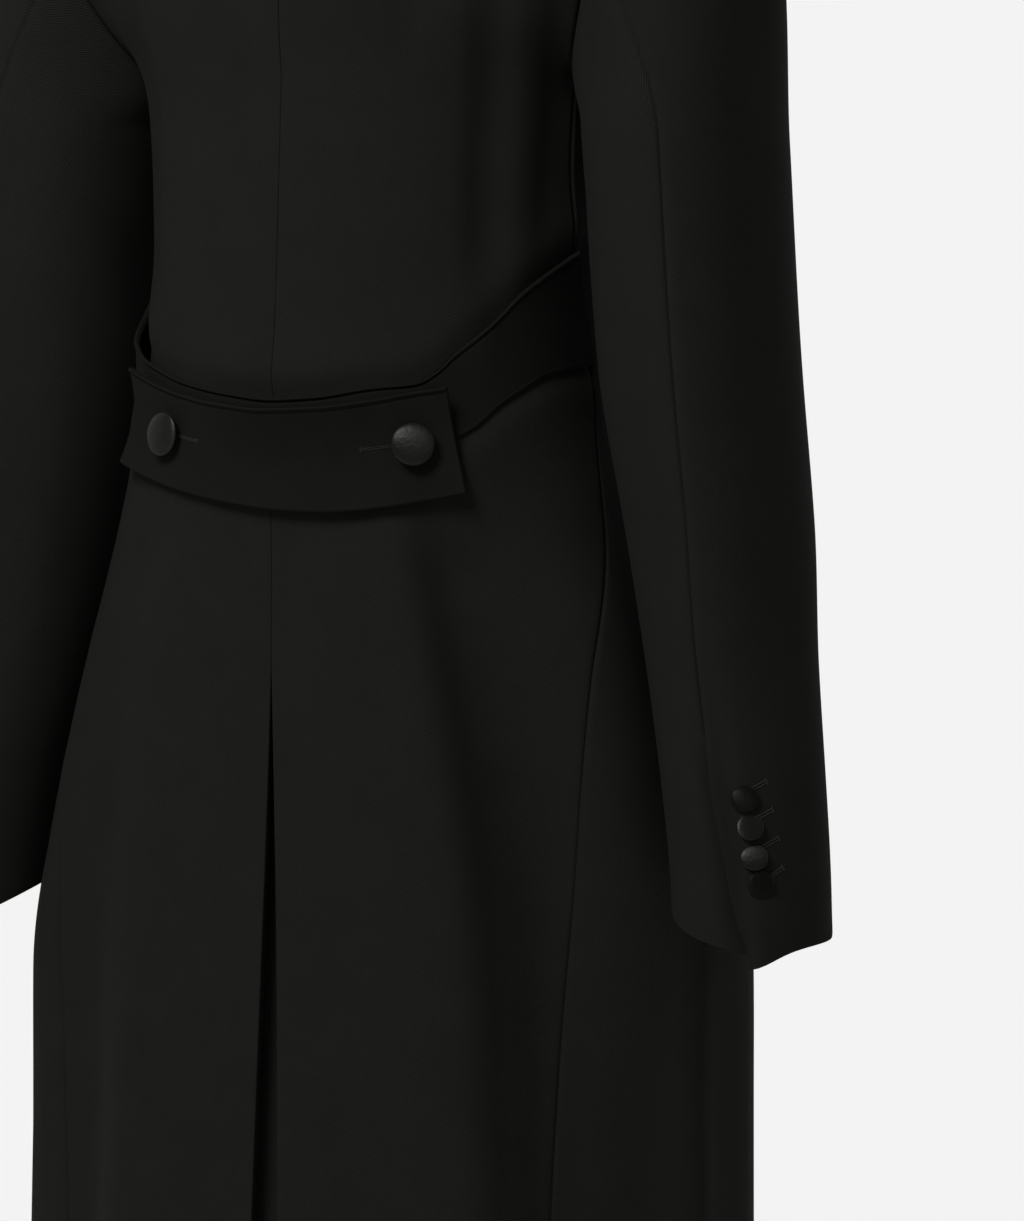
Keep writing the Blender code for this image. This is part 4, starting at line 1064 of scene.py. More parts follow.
def collar_path(share, side):
    """Foot of the collar's stand, the fall's edge and the stand's height at a place."""
    edge = COLLAR.at(share)
    if share < GORGE_PLACE:
        up = (share + 1.0) / (GORGE_PLACE + 1.0)
        foot = front_block(0.0, blend(COLLAR_FRONT_RISE, 1.0, up), side)
    elif share < 0.0:
        foot = front_top(NECK_SHARE * (1.0 - share / GORGE_PLACE), side)
    else:
        foot = back_top(NECK_SHARE * (1.0 - share), side)
    block = front_block if share < 0.0 else back_block
    return foot, block(edge.across, edge.rise, side), edge.stand


def collar_profile(share, side):
    """Points up the stand, over the roll and down the fall, on a smooth line."""
    foot, fall, stand = collar_path(share, side)
    up = Vector((0.0, 0.0, 1.0))
    away = Vector((fall.x - foot.x, fall.y - foot.y, 0.0))
    if share >= 1.0:
        away.x = 0.0
    away.normalize()
    points = [foot - up * COLLAR_TURN_IN - away * COLLAR_INSET[0],
              foot + up * COLLAR_FOOT_RISE - away * COLLAR_INSET[1],
              foot + up * stand * 0.55 - away * COLLAR_INSET[2],
              foot + up * stand,
              foot + up * (stand + COLLAR_ROLL * 0.8) + away * COLLAR_ROLL,
              foot + up * stand * 0.86 + away * COLLAR_ROLL * 2.2]
    landing = fall + (up * 0.8 + away * 0.6) * COLLAR_LANDING
    points.append(blend(points[-1], landing, 0.55) + (away + up) * COLLAR_SWELL)
    points.append(landing)
    return smooth_line(points, COLLAR_PROFILE_STEPS)


def smooth_line(points, steps):
    """Even steps along a smooth curve through the points."""
    ends = [points[0] * 2 - points[1]] + points + [points[-1] * 2 - points[-2]]
    line = []
    count = len(points) - 1
    for k in range(steps + 1):
        place = k / steps * count
        index = min(int(place), count - 1)
        before, start, end, after = ends[index:index + 4]
        line.append(hermite(start, end, (end - before) / 2, (after - start) / 2, place - index))
    return line


def collar_sheet():
    """Rows run round the neck from right to left; each goes up and over the collar."""
    points = []
    for k in range(-COLLAR_COLUMNS_COUNT, COLLAR_COLUMNS_COUNT + 1):
        share = 1.0 - 2.0 * abs(k) / COLLAR_COLUMNS_COUNT
        points.append(collar_profile(share, RIGHT if k < 0 else LEFT))
    return raised(points, np.zeros((len(points), len(points[0]))), (0.0, 1.0, 0.0))


def roll_place(along, across, side, lift):
    """A point on a front by its share of the roll line's height, lifted off the panel."""
    split = (BLOCK_FOOT - BREAK_HEIGHT) / ROLL_LINE_LENGTH
    if along <= split:
        height = blend(BREAK_HEIGHT, BLOCK_FOOT, along / split)
        angle = side_angle(blend(front_edge_angle(height), body_section(height).front_seam,
                                 across), side)
        return body_point(angle, height, lift + front_lift(angle, height, side))
    rise = (along - split) / (1.0 - split)
    point = front_block(across, rise, side)
    step = 0.01
    across_step = front_block(across + step, rise, side) - point
    rise_step = front_block(across, rise - step, side) - point
    normal = across_step.cross(rise_step) * -side
    return point + normal.normalized() * lift


LAPEL_ROWS_COUNT = 84
LAPEL_CROSS = 22
LAPEL_EVEN = 0.55           # share of its spring that is the same from roll line to edge
LAPEL_FULLEST = 0.3         # the rest is most at this share of the way out
LAPEL_SPRING_FROM = 0.12    # it starts at this share of the way up and is full at the next
LAPEL_SPRING_FULL = 0.52


def lapel_sheet(side):
    """Rows from the break up; each runs from the roll line to the lapel's outer edge."""
    points = []
    for r in range(LAPEL_ROWS_COUNT + 1):
        up = r / LAPEL_ROWS_COUNT
        reach = LAPEL.at(up).reach
        row = []
        for k in range(LAPEL_CROSS + 1):
            out = k / LAPEL_CROSS
            along = up * LAPEL_TOP.at(out).along
            swell = math.sin(math.pi * min(1.0, 0.5 - LAPEL_FULLEST + out))
            spring = LAPEL_ROLL * blend(swell, 1.0, LAPEL_EVEN)
            spring *= ease((up - LAPEL_SPRING_FROM) / (LAPEL_SPRING_FULL - LAPEL_SPRING_FROM))
            row.append(roll_place(along, out * reach, side, LAY + LAPEL_WALL + spring))
        points.append(row)
    return raised(points, np.zeros((len(points), len(points[0]))), (0.0, -1.0, 0.0))


# ------------------------------------------------------------------ materials
TWILL_PITCH = 0.00115       # really 0.5 mm; drawn as coarse as it needs to show
TWILL_ANGLE = -42.0
PICK_ANGLE = TWILL_ANGLE + 72.0         # of the weft's picks, which cross the ribs
PICK_PITCH = 1.15           # as a share of the ribs' pitch
PICK_SHARE = 0.38           # and of their height
WOOL_ROUGHNESS = 0.85
SATIN_ROUGHNESS = 0.40
SATIN_LUSTRE = 0.11
SHADED_SATIN_LUSTRE = 0.045       # of the darker copy of the satin, painted shade on two cuff buttons
SATIN_PITCH = 0.0005        # really 0.1 mm; drawn coarser to show
FLOOR_RADIUS = 18.0


def linear(hex_colour):
    """An sRGB hex colour as linear red, green and blue."""
    values = [int(hex_colour[k:k + 2], 16) / 255.0 for k in (0, 2, 4)]
    return tuple(v / 12.92 if v <= 0.04045 else ((v + 0.055) / 1.055) ** 2.4 for v in values)


THREAD_DARK = linear("191917")
THREAD_LIGHT = linear("272724")


def add_node(tree, kind, settings=None, links=None):
    """Add one node; links give its inputs, as values or as another node's socket."""
    node = tree.nodes.new(kind)
    for name, value in (settings or {}).items():
        setattr(node, name, value)
    for name, value in (links or {}).items():
        socket = node.inputs[name]
        if isinstance(value, bpy.types.NodeSocket):
            tree.links.new(value, socket)
        else:
            socket.default_value = value
    return node


def new_material(name):
    material = bpy.data.materials.new(name)
    material.use_nodes = True
    material.node_tree.nodes.clear()
    return material, material.node_tree


def bands_scale(pitch):
    """A Wave Texture's scale for bands this far apart, in metres."""
    return 2.0 * math.pi / 20.0 / pitch


def twill_wool(name, dark, light, pitch):
    """Worsted wool woven in a fine twill and pressed: matt, with close diagonal ribs."""
    material, tree = new_material(name)
    place = add_node(tree, "ShaderNodeUVMap", {"uv_map": "cloth"}).outputs["UV"]
    turned = add_node(tree, "ShaderNodeMapping", links={
        "Vector": place, "Rotation": (0.0, 0.0, math.radians(TWILL_ANGLE))}).outputs["Vector"]
    crossed = add_node(tree, "ShaderNodeMapping", links={
        "Vector": place, "Rotation": (0.0, 0.0, math.radians(PICK_ANGLE))}).outputs["Vector"]
    ribs = add_node(tree, "ShaderNodeTexWave", {"wave_type": "BANDS", "bands_direction": "X"}, {
        "Vector": turned, "Scale": bands_scale(pitch), "Distortion": 0.6, "Detail": 1.0,
        "Detail Scale": 2.0}).outputs["Fac"]
    picks = add_node(tree, "ShaderNodeTexWave", {"wave_type": "BANDS", "bands_direction": "X"}, {
        "Vector": crossed, "Scale": bands_scale(pitch * PICK_PITCH), "Distortion": 0.5,
        "Detail": 1.0, "Detail Scale": 2.0}).outputs["Fac"]
    weave = add_node(tree, "ShaderNodeMath", {"operation": "MULTIPLY_ADD"}, {
        0: picks, 1: PICK_SHARE, 2: ribs}).outputs["Value"]
    spun = add_node(tree, "ShaderNodeTexNoise", links={
        "Vector": place, "Scale": 900.0, "Detail": 2.0}).outputs["Fac"]
    mottle = add_node(tree, "ShaderNodeTexNoise", links={
        "Vector": place, "Scale": 28.0, "Detail": 3.0, "Roughness": 0.6}).outputs["Fac"]
    height = add_node(tree, "ShaderNodeMath", {"operation": "MULTIPLY_ADD"}, {
        0: spun, 1: 0.5, 2: weave}).outputs["Value"]
    bump = add_node(tree, "ShaderNodeBump", links={
        "Height": height, "Strength": 0.55, "Distance": 0.00022}).outputs["Normal"]
    # the colour runs from dark between the twill's ribs to light on them: painted shade in the
    # weave's hollows and painted light on its ribs; the mottle added on top is random tone
    shade = add_node(tree, "ShaderNodeMapRange", links={
        "Value": weave, "From Min": 0.1, "From Max": 1.25}).outputs["Result"]
    cloud = add_node(tree, "ShaderNodeMapRange", links={
        "Value": mottle, "From Min": 0.3, "From Max": 0.7, "To Min": -0.07,
        "To Max": 0.07}).outputs["Result"]
    mixed = add_node(tree, "ShaderNodeMath", {"operation": "ADD", "use_clamp": True}, {
        0: shade, 1: cloud}).outputs["Value"]
    colour = add_node(tree, "ShaderNodeMix", {"data_type": "RGBA"}, {
        "Factor": mixed, 6: (*dark, 1.0), 7: (*light, 1.0)}).outputs[2]
    shader = add_node(tree, "ShaderNodeBsdfPrincipled", links={
        "Base Color": colour, "Normal": bump, "Roughness": WOOL_ROUGHNESS,
        "Specular IOR Level": 0.02, "Sheen Weight": 0.004, "Sheen Roughness": 0.5})
    add_node(tree, "ShaderNodeOutputMaterial", links={"Surface": shader.outputs["BSDF"]})
    return material


def woven_satin(name, dark, light, lustre):
    """Warp-faced silk satin: smooth and lustrous, with fine lengthways threads."""
    material, tree = new_material(name)
    place = add_node(tree, "ShaderNodeUVMap", {"uv_map": "cloth"}).outputs["UV"]
    threads = add_node(tree, "ShaderNodeTexWave", {"wave_type": "BANDS", "bands_direction": "X"}, {
        "Vector": place, "Scale": bands_scale(SATIN_PITCH), "Distortion": 1.2,
        "Detail": 2.0}).outputs["Fac"]
    pucker = add_node(tree, "ShaderNodeTexNoise", links={
        "Vector": place, "Scale": 340.0, "Detail": 3.0, "Roughness": 0.5}).outputs["Fac"]
    fine = add_node(tree, "ShaderNodeBump", links={
        "Height": threads, "Strength": 0.15, "Distance": 0.00006}).outputs["Normal"]
    bump = add_node(tree, "ShaderNodeBump", links={
        "Height": pucker, "Strength": 0.48, "Distance": 0.0005, "Normal": fine}).outputs["Normal"]
    colour = add_node(tree, "ShaderNodeMix", {"data_type": "RGBA"}, {
        "Factor": threads, 6: (*dark, 1.0), 7: (*light, 1.0)}).outputs[2]
    along = add_node(tree, "ShaderNodeTangent", {"direction_type": "UV_MAP",
                                                 "uv_map": "cloth"}).outputs["Tangent"]
    shader = add_node(tree, "ShaderNodeBsdfPrincipled", links={
        "Base Color": colour, "Normal": bump, "Tangent": along, "Roughness": SATIN_ROUGHNESS,
        "Specular IOR Level": lustre, "Anisotropic": 0.70})
    add_node(tree, "ShaderNodeOutputMaterial", links={"Surface": shader.outputs["BSDF"]})
    return material


def sewing_thread(name, dark, light):
    """Mercerised buttonhole thread: twisted, with a slight gloss."""
    material, tree = new_material(name)
    place = add_node(tree, "ShaderNodeTexCoord").outputs["Object"]
    twist = add_node(tree, "ShaderNodeTexNoise", links={
        "Vector": place, "Scale": 2600.0, "Detail": 1.0}).outputs["Fac"]
    colour = add_node(tree, "ShaderNodeMix", {"data_type": "RGBA"}, {
        "Factor": twist, 6: (*dark, 1.0), 7: (*light, 1.0)}).outputs[2]
    shader = add_node(tree, "ShaderNodeBsdfPrincipled", links={
        "Base Color": colour, "Roughness": 0.6, "Specular IOR Level": 0.06})
    add_node(tree, "ShaderNodeOutputMaterial", links={"Surface": shader.outputs["BSDF"]})
    return material


def painted_floor(name, pale):
    """A matt painted studio floor with faint cloudiness."""
    material, tree = new_material(name)
    place = add_node(tree, "ShaderNodeTexCoord").outputs["Object"]
    cloud = add_node(tree, "ShaderNodeTexNoise", links={
        "Vector": place, "Scale": 1.5, "Detail": 3.0}).outputs["Fac"]
    colour = add_node(tree, "ShaderNodeMix", {"data_type": "RGBA"}, {
        "Factor": cloud, 6: (*[v * 0.96 for v in pale], 1.0), 7: (*pale, 1.0)}).outputs[2]
    shader = add_node(tree, "ShaderNodeBsdfPrincipled", links={
        "Base Color": colour, "Roughness": 0.75, "Specular IOR Level": 0.2})
    add_node(tree, "ShaderNodeOutputMaterial", links={"Surface": shader.outputs["BSDF"]})
    return material


# ------------------------------------------------------------------ meshes from grids
def flat_places(grid):
    """Where each point of a sheet lies when it is laid flat, its grain along the middle."""
    rows, columns = grid.shape[:2]
    along = np.linalg.norm(np.diff(grid, axis=1), axis=2)
    across = np.concatenate([np.zeros((rows, 1)), np.cumsum(along, axis=1)], axis=1)
    across = across - across[:, columns // 2:columns // 2 + 1]
    down = np.linalg.norm(np.diff(grid, axis=0), axis=2).mean(axis=1)
    up = np.concatenate([[0.0], np.cumsum(down)])
    return np.stack([across, np.repeat(up[:, None], columns, axis=1)], axis=2)


def finished_mesh(name, mesh):
    """The made shape as a smooth-shaded mesh of its own."""
    data = bpy.data.meshes.new(name)
    mesh.to_mesh(data)
    mesh.free()
    data.shade_smooth()
    return data


def sheet_mesh(name, grid, normals):
    """One layer of cloth from a grid of points, facing its outward side."""
    rows, columns = grid.shape[:2]
    mesh = bmesh.new()
    bmesh.ops.create_grid(mesh, x_segments=columns - 1, y_segments=rows - 1, size=1.0)
    laid = mesh.loops.layers.uv.new("cloth")
    flat = flat_places(grid).reshape(-1, 2)
    places = grid.reshape(-1, 3)
    mesh.verts.ensure_lookup_table()
    for vert, place in zip(mesh.verts, places):
        vert.co = place
    mesh.faces.ensure_lookup_table()
    mesh.normal_update()
    middle = mesh.faces[len(mesh.faces) // 2]
    outward = Vector(normals.reshape(-1, 3)[middle.verts[0].index])
    if middle.normal.dot(outward) < 0.0:
        bmesh.ops.reverse_faces(mesh, faces=mesh.faces[:])
    else:
        flat = flat * (-1.0, 1.0)           # so that the twill climbs one way on every piece
    for face in mesh.faces:
        for loop in face.loops:
            loop[laid].uv = flat[loop.vert.index]
    return finished_mesh(name, mesh)


def link_piece(name, data, material, nodes):
    piece = bpy.data.objects.new(name, data)
    data.materials.append(material)
    bpy.context.scene.collection.objects.link(piece)
    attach(piece, BODY_NAME)
    if nodes:
        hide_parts(*nodes)
    return piece


EDGE_SOFTNESS = 0.0005      # width of the rounding along each cut edge
SHARP_ANGLE = 55.0          # degrees; only edges that turn more than this are rounded


def cloth_piece(name, sheet, material, node, wall):
    """A sheet given its thickness inwards, with soft edges."""
    grid, normals = sheet
    piece = link_piece(name, sheet_mesh(name, grid, normals), material, [node])
    solid = piece.modifiers.new("thickness", "SOLIDIFY")
    solid.thickness = wall
    solid.offset = -1.0
    soft = piece.modifiers.new("soft edge", "BEVEL")
    soft.affect = "EDGES"
    soft.width = EDGE_SOFTNESS
    soft.segments = 2
    soft.profile = 0.5
    soft.limit_method = "ANGLE"
    soft.angle_limit = math.radians(SHARP_ANGLE)
    return piece


def cut_facts(grid):
    """Width, length and area of a sheet laid flat."""
    flat = flat_places(grid)
    wide = float(np.max(flat[:, -1, 0] - flat[:, 0, 0]))
    long = float(flat[-1, 0, 1])
    a, b = grid[:-1, :-1], grid[1:, 1:]
    c, d = grid[1:, :-1], grid[:-1, 1:]
    area = float(np.sum(np.linalg.norm(np.cross(b - a, d - c), axis=2)) / 2)
    return wide, long, area


# ------------------------------------------------------------------ buttons and buttonholes
BUTTON_RINGS = 48
DOME_TURNS = (0.0, 8.0, 16.0, 25.0, 34.0, 43.0, 52.0, 60.0, 68.0, 75.0, 82.0)
DOME_SHARE = 0.55           # of the rise; the rim under the dome has the rest
RIM_ROWS = (                # shares of the radius and of the rise, drawn under to the back
    (0.998, 0.42), (0.985, 0.30), (0.955, 0.17), (0.90, 0.05), (0.80, 0.0), (0.45, 0.0),
)
SHANK_SHARE = 0.20          # of the radius
SHANK_DEPTH = 0.0002
GATHERS = 22.0              # folds of the satin round the rim
GATHER_DEPTH = 0.010
GATHER_ON_DOME = 0.35       # they show less above the rim
GATHER_FROM = 0.80          # they start at this share of the radius, over the next
GATHER_FADE = 0.18
# these cuff buttons take the darker copy of the satin: painted shade
SHADED_CUFF_BUTTONS = (1, 4)
NORMAL_TURN = 1.0           # steps in degrees and metres for finding a surface's normal
NORMAL_RISE = 0.002


def button_mesh(name, diameter, threads):
    """A domed button covered with satin, drawn under at its rim, on a thread shank."""
    radius = diameter / 2
    rise = BUTTON_RISE * diameter
    outline = []
    for turn in DOME_TURNS:
        outline.append((radius * math.sin(math.radians(turn)),
                        rise * blend(1.0, math.cos(math.radians(turn)), DOME_SHARE)))
    outline += [(radius * out, rise * up) for out, up in RIM_ROWS]
    outline += [(radius * SHANK_SHARE, -SHANK_DEPTH), (0.0, -SHANK_DEPTH)]
    mesh = bmesh.new()
    laid = mesh.loops.layers.uv.new("cloth")
    chain = [mesh.verts.new((out, 0.0, up)) for out, up in outline]
    edges = [mesh.edges.new(pair) for pair in zip(chain, chain[1:])]
    bmesh.ops.spin(mesh, geom=chain + edges, axis=(0.0, 0.0, 1.0), cent=(0.0, 0.0, 0.0),
                   angle=2.0 * math.pi, steps=BUTTON_RINGS, use_merge=True, use_duplicate=False)
    bmesh.ops.remove_doubles(mesh, verts=mesh.verts[:], dist=0.000005)
    for vert in mesh.verts:
        out = math.hypot(vert.co.x, vert.co.y) / radius
        turn = math.atan2(vert.co.y, vert.co.x)
        gather = ease((out - GATHER_FROM) / GATHER_FADE)
        gather *= 1.0 if vert.co.z < rise * 0.5 else GATHER_ON_DOME
        wave = math.sin(GATHERS * turn + 2.0 * math.sin(3.0 * turn))
        swell = 1.0 + GATHER_DEPTH * gather * wave
        vert.co.x *= swell
        vert.co.y *= swell
    bmesh.ops.recalc_face_normals(mesh, faces=mesh.faces[:])
    turned = Matrix.Rotation(math.radians(threads), 2)
    for face in mesh.faces:
        for loop in face.loops:
            loop[laid].uv = turned @ loop.vert.co.xy
    return finished_mesh(name, mesh)


def outward_at(point_at, angle, height):
    """The normal of a surface given as a function of angle and height."""
    place = point_at(angle, height)
    round_step = point_at(angle + NORMAL_TURN, height) - place
    up_step = point_at(angle, height + NORMAL_RISE) - place
    return round_step.cross(up_step).normalized()


def place_button(node, button, normal, material):
    """A covered button in the place of its plain solid."""
    name = "covered_" + node
    data = button_mesh(name, button.diameter, button.threads)
    turn = math.radians(button.turn)
    axis = Vector((math.cos(turn), math.sin(turn), 0.0))
    facing = normal.to_track_quat("Z", "Y").to_matrix().to_4x4()
    facing = facing @ Matrix.Rotation(math.radians(button.tilt), 4, axis)
    data.transform(facing)
    low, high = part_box(node)
    middle = (Vector(low) + Vector(high)) / 2
    corners = np.array([tuple(v.co) for v in data.vertices])
    own = Vector((corners.min(axis=0) + corners.max(axis=0)) / 2)
    data.transform(Matrix.Translation(middle - own))
    return link_piece(name, data, material, [node])


STITCH_PITCH = 0.00055
STITCH_LENGTH = 0.0012
STITCH_WIDTH = 0.00050
STITCH_SWELL = (1.3, 1.6)   # its breadth and height, as shares of that width
BAR_STITCHES = 4
BAR_PITCH = 0.00042
LIP_SPREAD = 0.00075        # from the slit's middle to the middle of each stitched lip
LIP_RISE = 0.00012


def add_stitch(mesh, place, along, normal, length, width):
    """One stitch: a small lozenge of thread lying on the cloth."""
    side = along.cross(normal).normalized()
    frame_of = Matrix((along, side, normal)).transposed().to_4x4()
    frame_of.translation = place
    broad, high = STITCH_SWELL
    size = Matrix.Diagonal((length / 2, width / 2 * broad, width / 2 * high, 1.0))
    bmesh.ops.create_icosphere(mesh, subdivisions=1, radius=1.0, matrix=frame_of @ size)


def buttonhole(name, start, end, surface, thread, size):
    """A worked buttonhole: two whipped lips along the slit and a bar across its end."""
    mesh = bmesh.new()
    span = surface(*end, 0.0) - surface(*start, 0.0)
    count = max(4, round(span.length / STITCH_PITCH))
    for k in range(count + 1):
        share = k / count
        u, v = blend(start[0], end[0], share), blend(start[1], end[1], share)
        place = surface(u, v, LIP_RISE)
        normal = (surface(u, v, 0.001) - surface(u, v, 0.0)).normalized()
        along = (span - normal * span.dot(normal)).normalized()
        over = along.cross(normal).normalized()
        for lip in (-LIP_SPREAD, LIP_SPREAD):
            add_stitch(mesh, place + over * lip * size, over, normal, STITCH_LENGTH * size,
                       STITCH_WIDTH)
        if k == count:
            for bar in range(-BAR_STITCHES, BAR_STITCHES + 1):
                add_stitch(mesh, place + (over * bar * size + along) * BAR_PITCH
                           + normal * LIP_RISE, along, normal, STITCH_LENGTH * size,
                           STITCH_WIDTH)
    return link_piece(name, finished_mesh(name, mesh), thread, [])


BELT_BUTTONS = named_rows(BUTTON_COLUMNS, BELT_BUTTON_ROWS)
CUFF_BUTTONS = named_rows(BUTTON_COLUMNS, CUFF_BUTTON_ROWS)
FRONT_BUTTONS = named_rows(BUTTON_COLUMNS, FRONT_BUTTON_ROWS)

# each button's slit, from its start to its end, in degrees and metres from the button
BELT_SLITS = (((-1.0, 0.0008), (-11.5, -0.0022)),
              ((1.0, 0.0006), (10.0, -0.0034)))
CUFF_SLITS = (((2.0, 0.0040), (16.0, 0.0095)),
              ((2.0, 0.0035), (17.0, 0.0095)),
              ((2.0, 0.0040), (18.5, 0.0105)),
              ((2.0, 0.0020), (17.0, 0.0095)))
FRONT_SLITS = (((0.0, 0.0), (-9.5, 0.0)),
               ((0.0, 0.0), (-8.5, 0.0)))
BELT_SLIT_SIZE = 0.62       # its stitches are finer


def on_tab(angle, height, lift=0.0):
    edge = TAB.at(angle)
    return tab_point(angle, (edge.top - height) / (edge.top - edge.foot), lift)


def on_front(angle, height, lift=0.0):
    return body_point(angle, height, lift + front_lift(angle, height, RIGHT)
                      + body_lift(angle, height))


def on_sleeve(side):
    def place(angle, height, lift=0.0):
        return sleeve_ring(angle, height, side, lift + sleeve_lift(angle, height, side))
    return place


# ------------------------------------------------------------------ settings
class CoatCloth(bpy.types.PropertyGroup):
    """Sizes and colours of the cloth."""
    wall: FloatProperty(name="Wall", description="Thickness of the wool with its canvas",
                        default=WALL, unit="LENGTH")
    lapel_wall: FloatProperty(name="Lapel wall", description="Thickness of a faced lapel",
                              default=LAPEL_WALL, unit="LENGTH")
    belt_wall: FloatProperty(name="Belt wall", description="Thickness of the lower belt",
                             default=BELT_WALL, unit="LENGTH")
    tab_wall: FloatProperty(name="Tab wall", description="Thickness of the buttoned tab",
                            default=TAB_WALL, unit="LENGTH")
    twill_pitch: FloatProperty(name="Twill pitch", description="Distance between twill ribs",
                               default=TWILL_PITCH, unit="LENGTH")
    # the wool's colours between its ribs and on them; the step from one to the other is painted
    # shade and light at the scale of the weave
    wool_dark: FloatVectorProperty(name="Wool, between ribs", description="Dark of the wool",
                                   default=linear("0d0d0c"), subtype="COLOR")
    wool_light: FloatVectorProperty(name="Wool, on the ribs", description="Light of the wool",
                                    default=linear("191918"), subtype="COLOR")
    # share by which the painted shade darkens the copies of the wool and the satin
    shade_share: FloatProperty(name="Painted shade", description="How far the painted shade darkens the belt, tab and two cuff buttons",
                       default=0.67, min=0.0, max=1.0)
    satin_dark: FloatVectorProperty(name="Satin, dark", description="Dark of the satin",
                                    default=linear("070706"), subtype="COLOR")
    satin_light: FloatVectorProperty(name="Satin, light", description="Light of the satin",
                                     default=linear("0f0f0e"), subtype="COLOR")


class CoatStage(bpy.types.PropertyGroup):
    """Light, floor and camera."""
    floor: FloatProperty(name="Floor height", description="Where the wearer would stand",
                         default=-1.42, unit="LENGTH")
    floor_colour: FloatVectorProperty(name="Floor colour", description="Pale matt paint",
                                      default=linear("e6e6e4"), subtype="COLOR")
    backdrop: FloatProperty(name="Backdrop", description="Brightness of the white backdrop",
                            default=0.896, min=0.0)
    room: FloatProperty(name="Room", description="Brightness of the room facing the backdrop",
                        default=0.36, min=0.0)
    key: FloatProperty(name="Key light", description="Power of the large soft light",
                       default=115.0, unit="POWER")
    fill: FloatProperty(name="Fill light", description="Power of the light on the front",
                        default=30.0, unit="POWER")
    distance: FloatProperty(name="Camera distance", description="From the coat's middle",
                            default=12.0, unit="LENGTH")


def cloth_settings():
    return bpy.context.scene.coat_cloth


def need(name):
    """A material made by the first operator."""
    material = bpy.data.materials.get(name)
    if material is None:
        raise RuntimeError("run coat.make_materials first: " + name)
    return material


def declare_cut(sheet):
    """Work out the width, length and area that a piece was cut to before it was sewn; the results
    are not kept.
    """
    wide, long, area = cut_facts(sheet[0])


# ------------------------------------------------------------------ one operator a group
class COAT_OT_materials(bpy.types.Operator):
    """Make the wool, satin and thread"""
    bl_idname = "coat.make_materials"
    bl_label = "Make cloth"

    def execute(self, context):
        cloth = cloth_settings()
        twill_wool("wool_twill", cloth.wool_dark, cloth.wool_light, cloth.twill_pitch)
        # painted shade: the belt and tab take a darker copy of the wool, standing in for the shade
        # that falls on them
        twill_wool("wool_twill_painted_shade", [part * cloth.shade_share for part in cloth.wool_dark],
                   [part * cloth.shade_share for part in cloth.wool_light], cloth.twill_pitch)
        woven_satin("silk_satin", cloth.satin_dark, cloth.satin_light, SATIN_LUSTRE)
        # painted shade: two cuff buttons take a darker, less lustrous copy of the satin
        woven_satin("silk_satin_painted_shade", [part * cloth.shade_share for part in cloth.satin_dark],
                    [part * cloth.shade_share for part in cloth.satin_light], SHADED_SATIN_LUSTRE)
        sewing_thread("buttonhole_thread", THREAD_DARK, THREAD_LIGHT)
        return {"FINISHED"}


class COAT_OT_body(bpy.types.Operator):
    """Make the back, side and front panels and the pleat"""
    bl_idname = "coat.make_body"
    bl_label = "Make body"

    def execute(self, context):
        wool, wall = need("wool_twill"), cloth_settings().wall
        for word, side in SIDES:
            for part, sheet_of in (("back", back_sheet), ("side", side_sheet),
                                   ("front", front_sheet)):
                sheet = sheet_of(side)
                piece = cloth_piece(f"wool_{part}_{word}", sheet, wool,
                                    f"{part}_{word}", wall)
                declare_cut(sheet)
        sheet = pleat_sheet()
        piece = cloth_piece("wool_pleat_underlay", sheet, wool, "pleat_underlay", wall)
        declare_cut(sheet)
        return {"FINISHED"}


class COAT_OT_sleeves(bpy.types.Operator):
    """Make the top and under sleeves"""
    bl_idname = "coat.make_sleeves"
    bl_label = "Make sleeves"

    def execute(self, context):
        wool, wall = need("wool_twill"), cloth_settings().wall
        for word, side in SIDES:
            for part, top_piece in (("top_sleeve", True), ("under_sleeve", False)):
                sheet = sleeve_sheet(side, top_piece)
                piece = cloth_piece(f"wool_{part}_{word}", sheet, wool,
                                    f"{part}_{word}", wall)
                declare_cut(sheet)
        return {"FINISHED"}


class COAT_OT_belt(bpy.types.Operator):
    """Make the half belt and its buttoned tab"""
    bl_idname = "coat.make_belt"
    bl_label = "Make half belt"

    def execute(self, context):
        # the belt and tab take the darker copy of the wool: painted shade
        wool, cloth = need("wool_twill_painted_shade"), cloth_settings()
        sheet = belt_sheet()
        piece = cloth_piece("wool_belt_under", sheet, wool, "belt_under",
                            cloth.belt_wall)
        declare_cut(sheet)
        sheet = tab_sheet()
        piece = cloth_piece("wool_belt_tab", sheet, wool, "belt_tab", cloth.tab_wall)
        declare_cut(sheet)
        return {"FINISHED"}


class COAT_OT_collar(bpy.types.Operator):
    """Make the collar and the lapels"""
    bl_idname = "coat.make_collar"
    bl_label = "Make collar and lapels"

    def execute(self, context):
        cloth = cloth_settings()
        sheet = collar_sheet()
        piece = cloth_piece("wool_collar", sheet, need("wool_twill"), "collar",
                            cloth.wall)
        declare_cut(sheet)
        for word, side in SIDES:
            sheet = lapel_sheet(side)
            piece = cloth_piece(f"satin_lapel_{word}", sheet, need("silk_satin"),
                                f"lapel_{word}", cloth.lapel_wall)
            declare_cut(sheet)
        return {"FINISHED"}


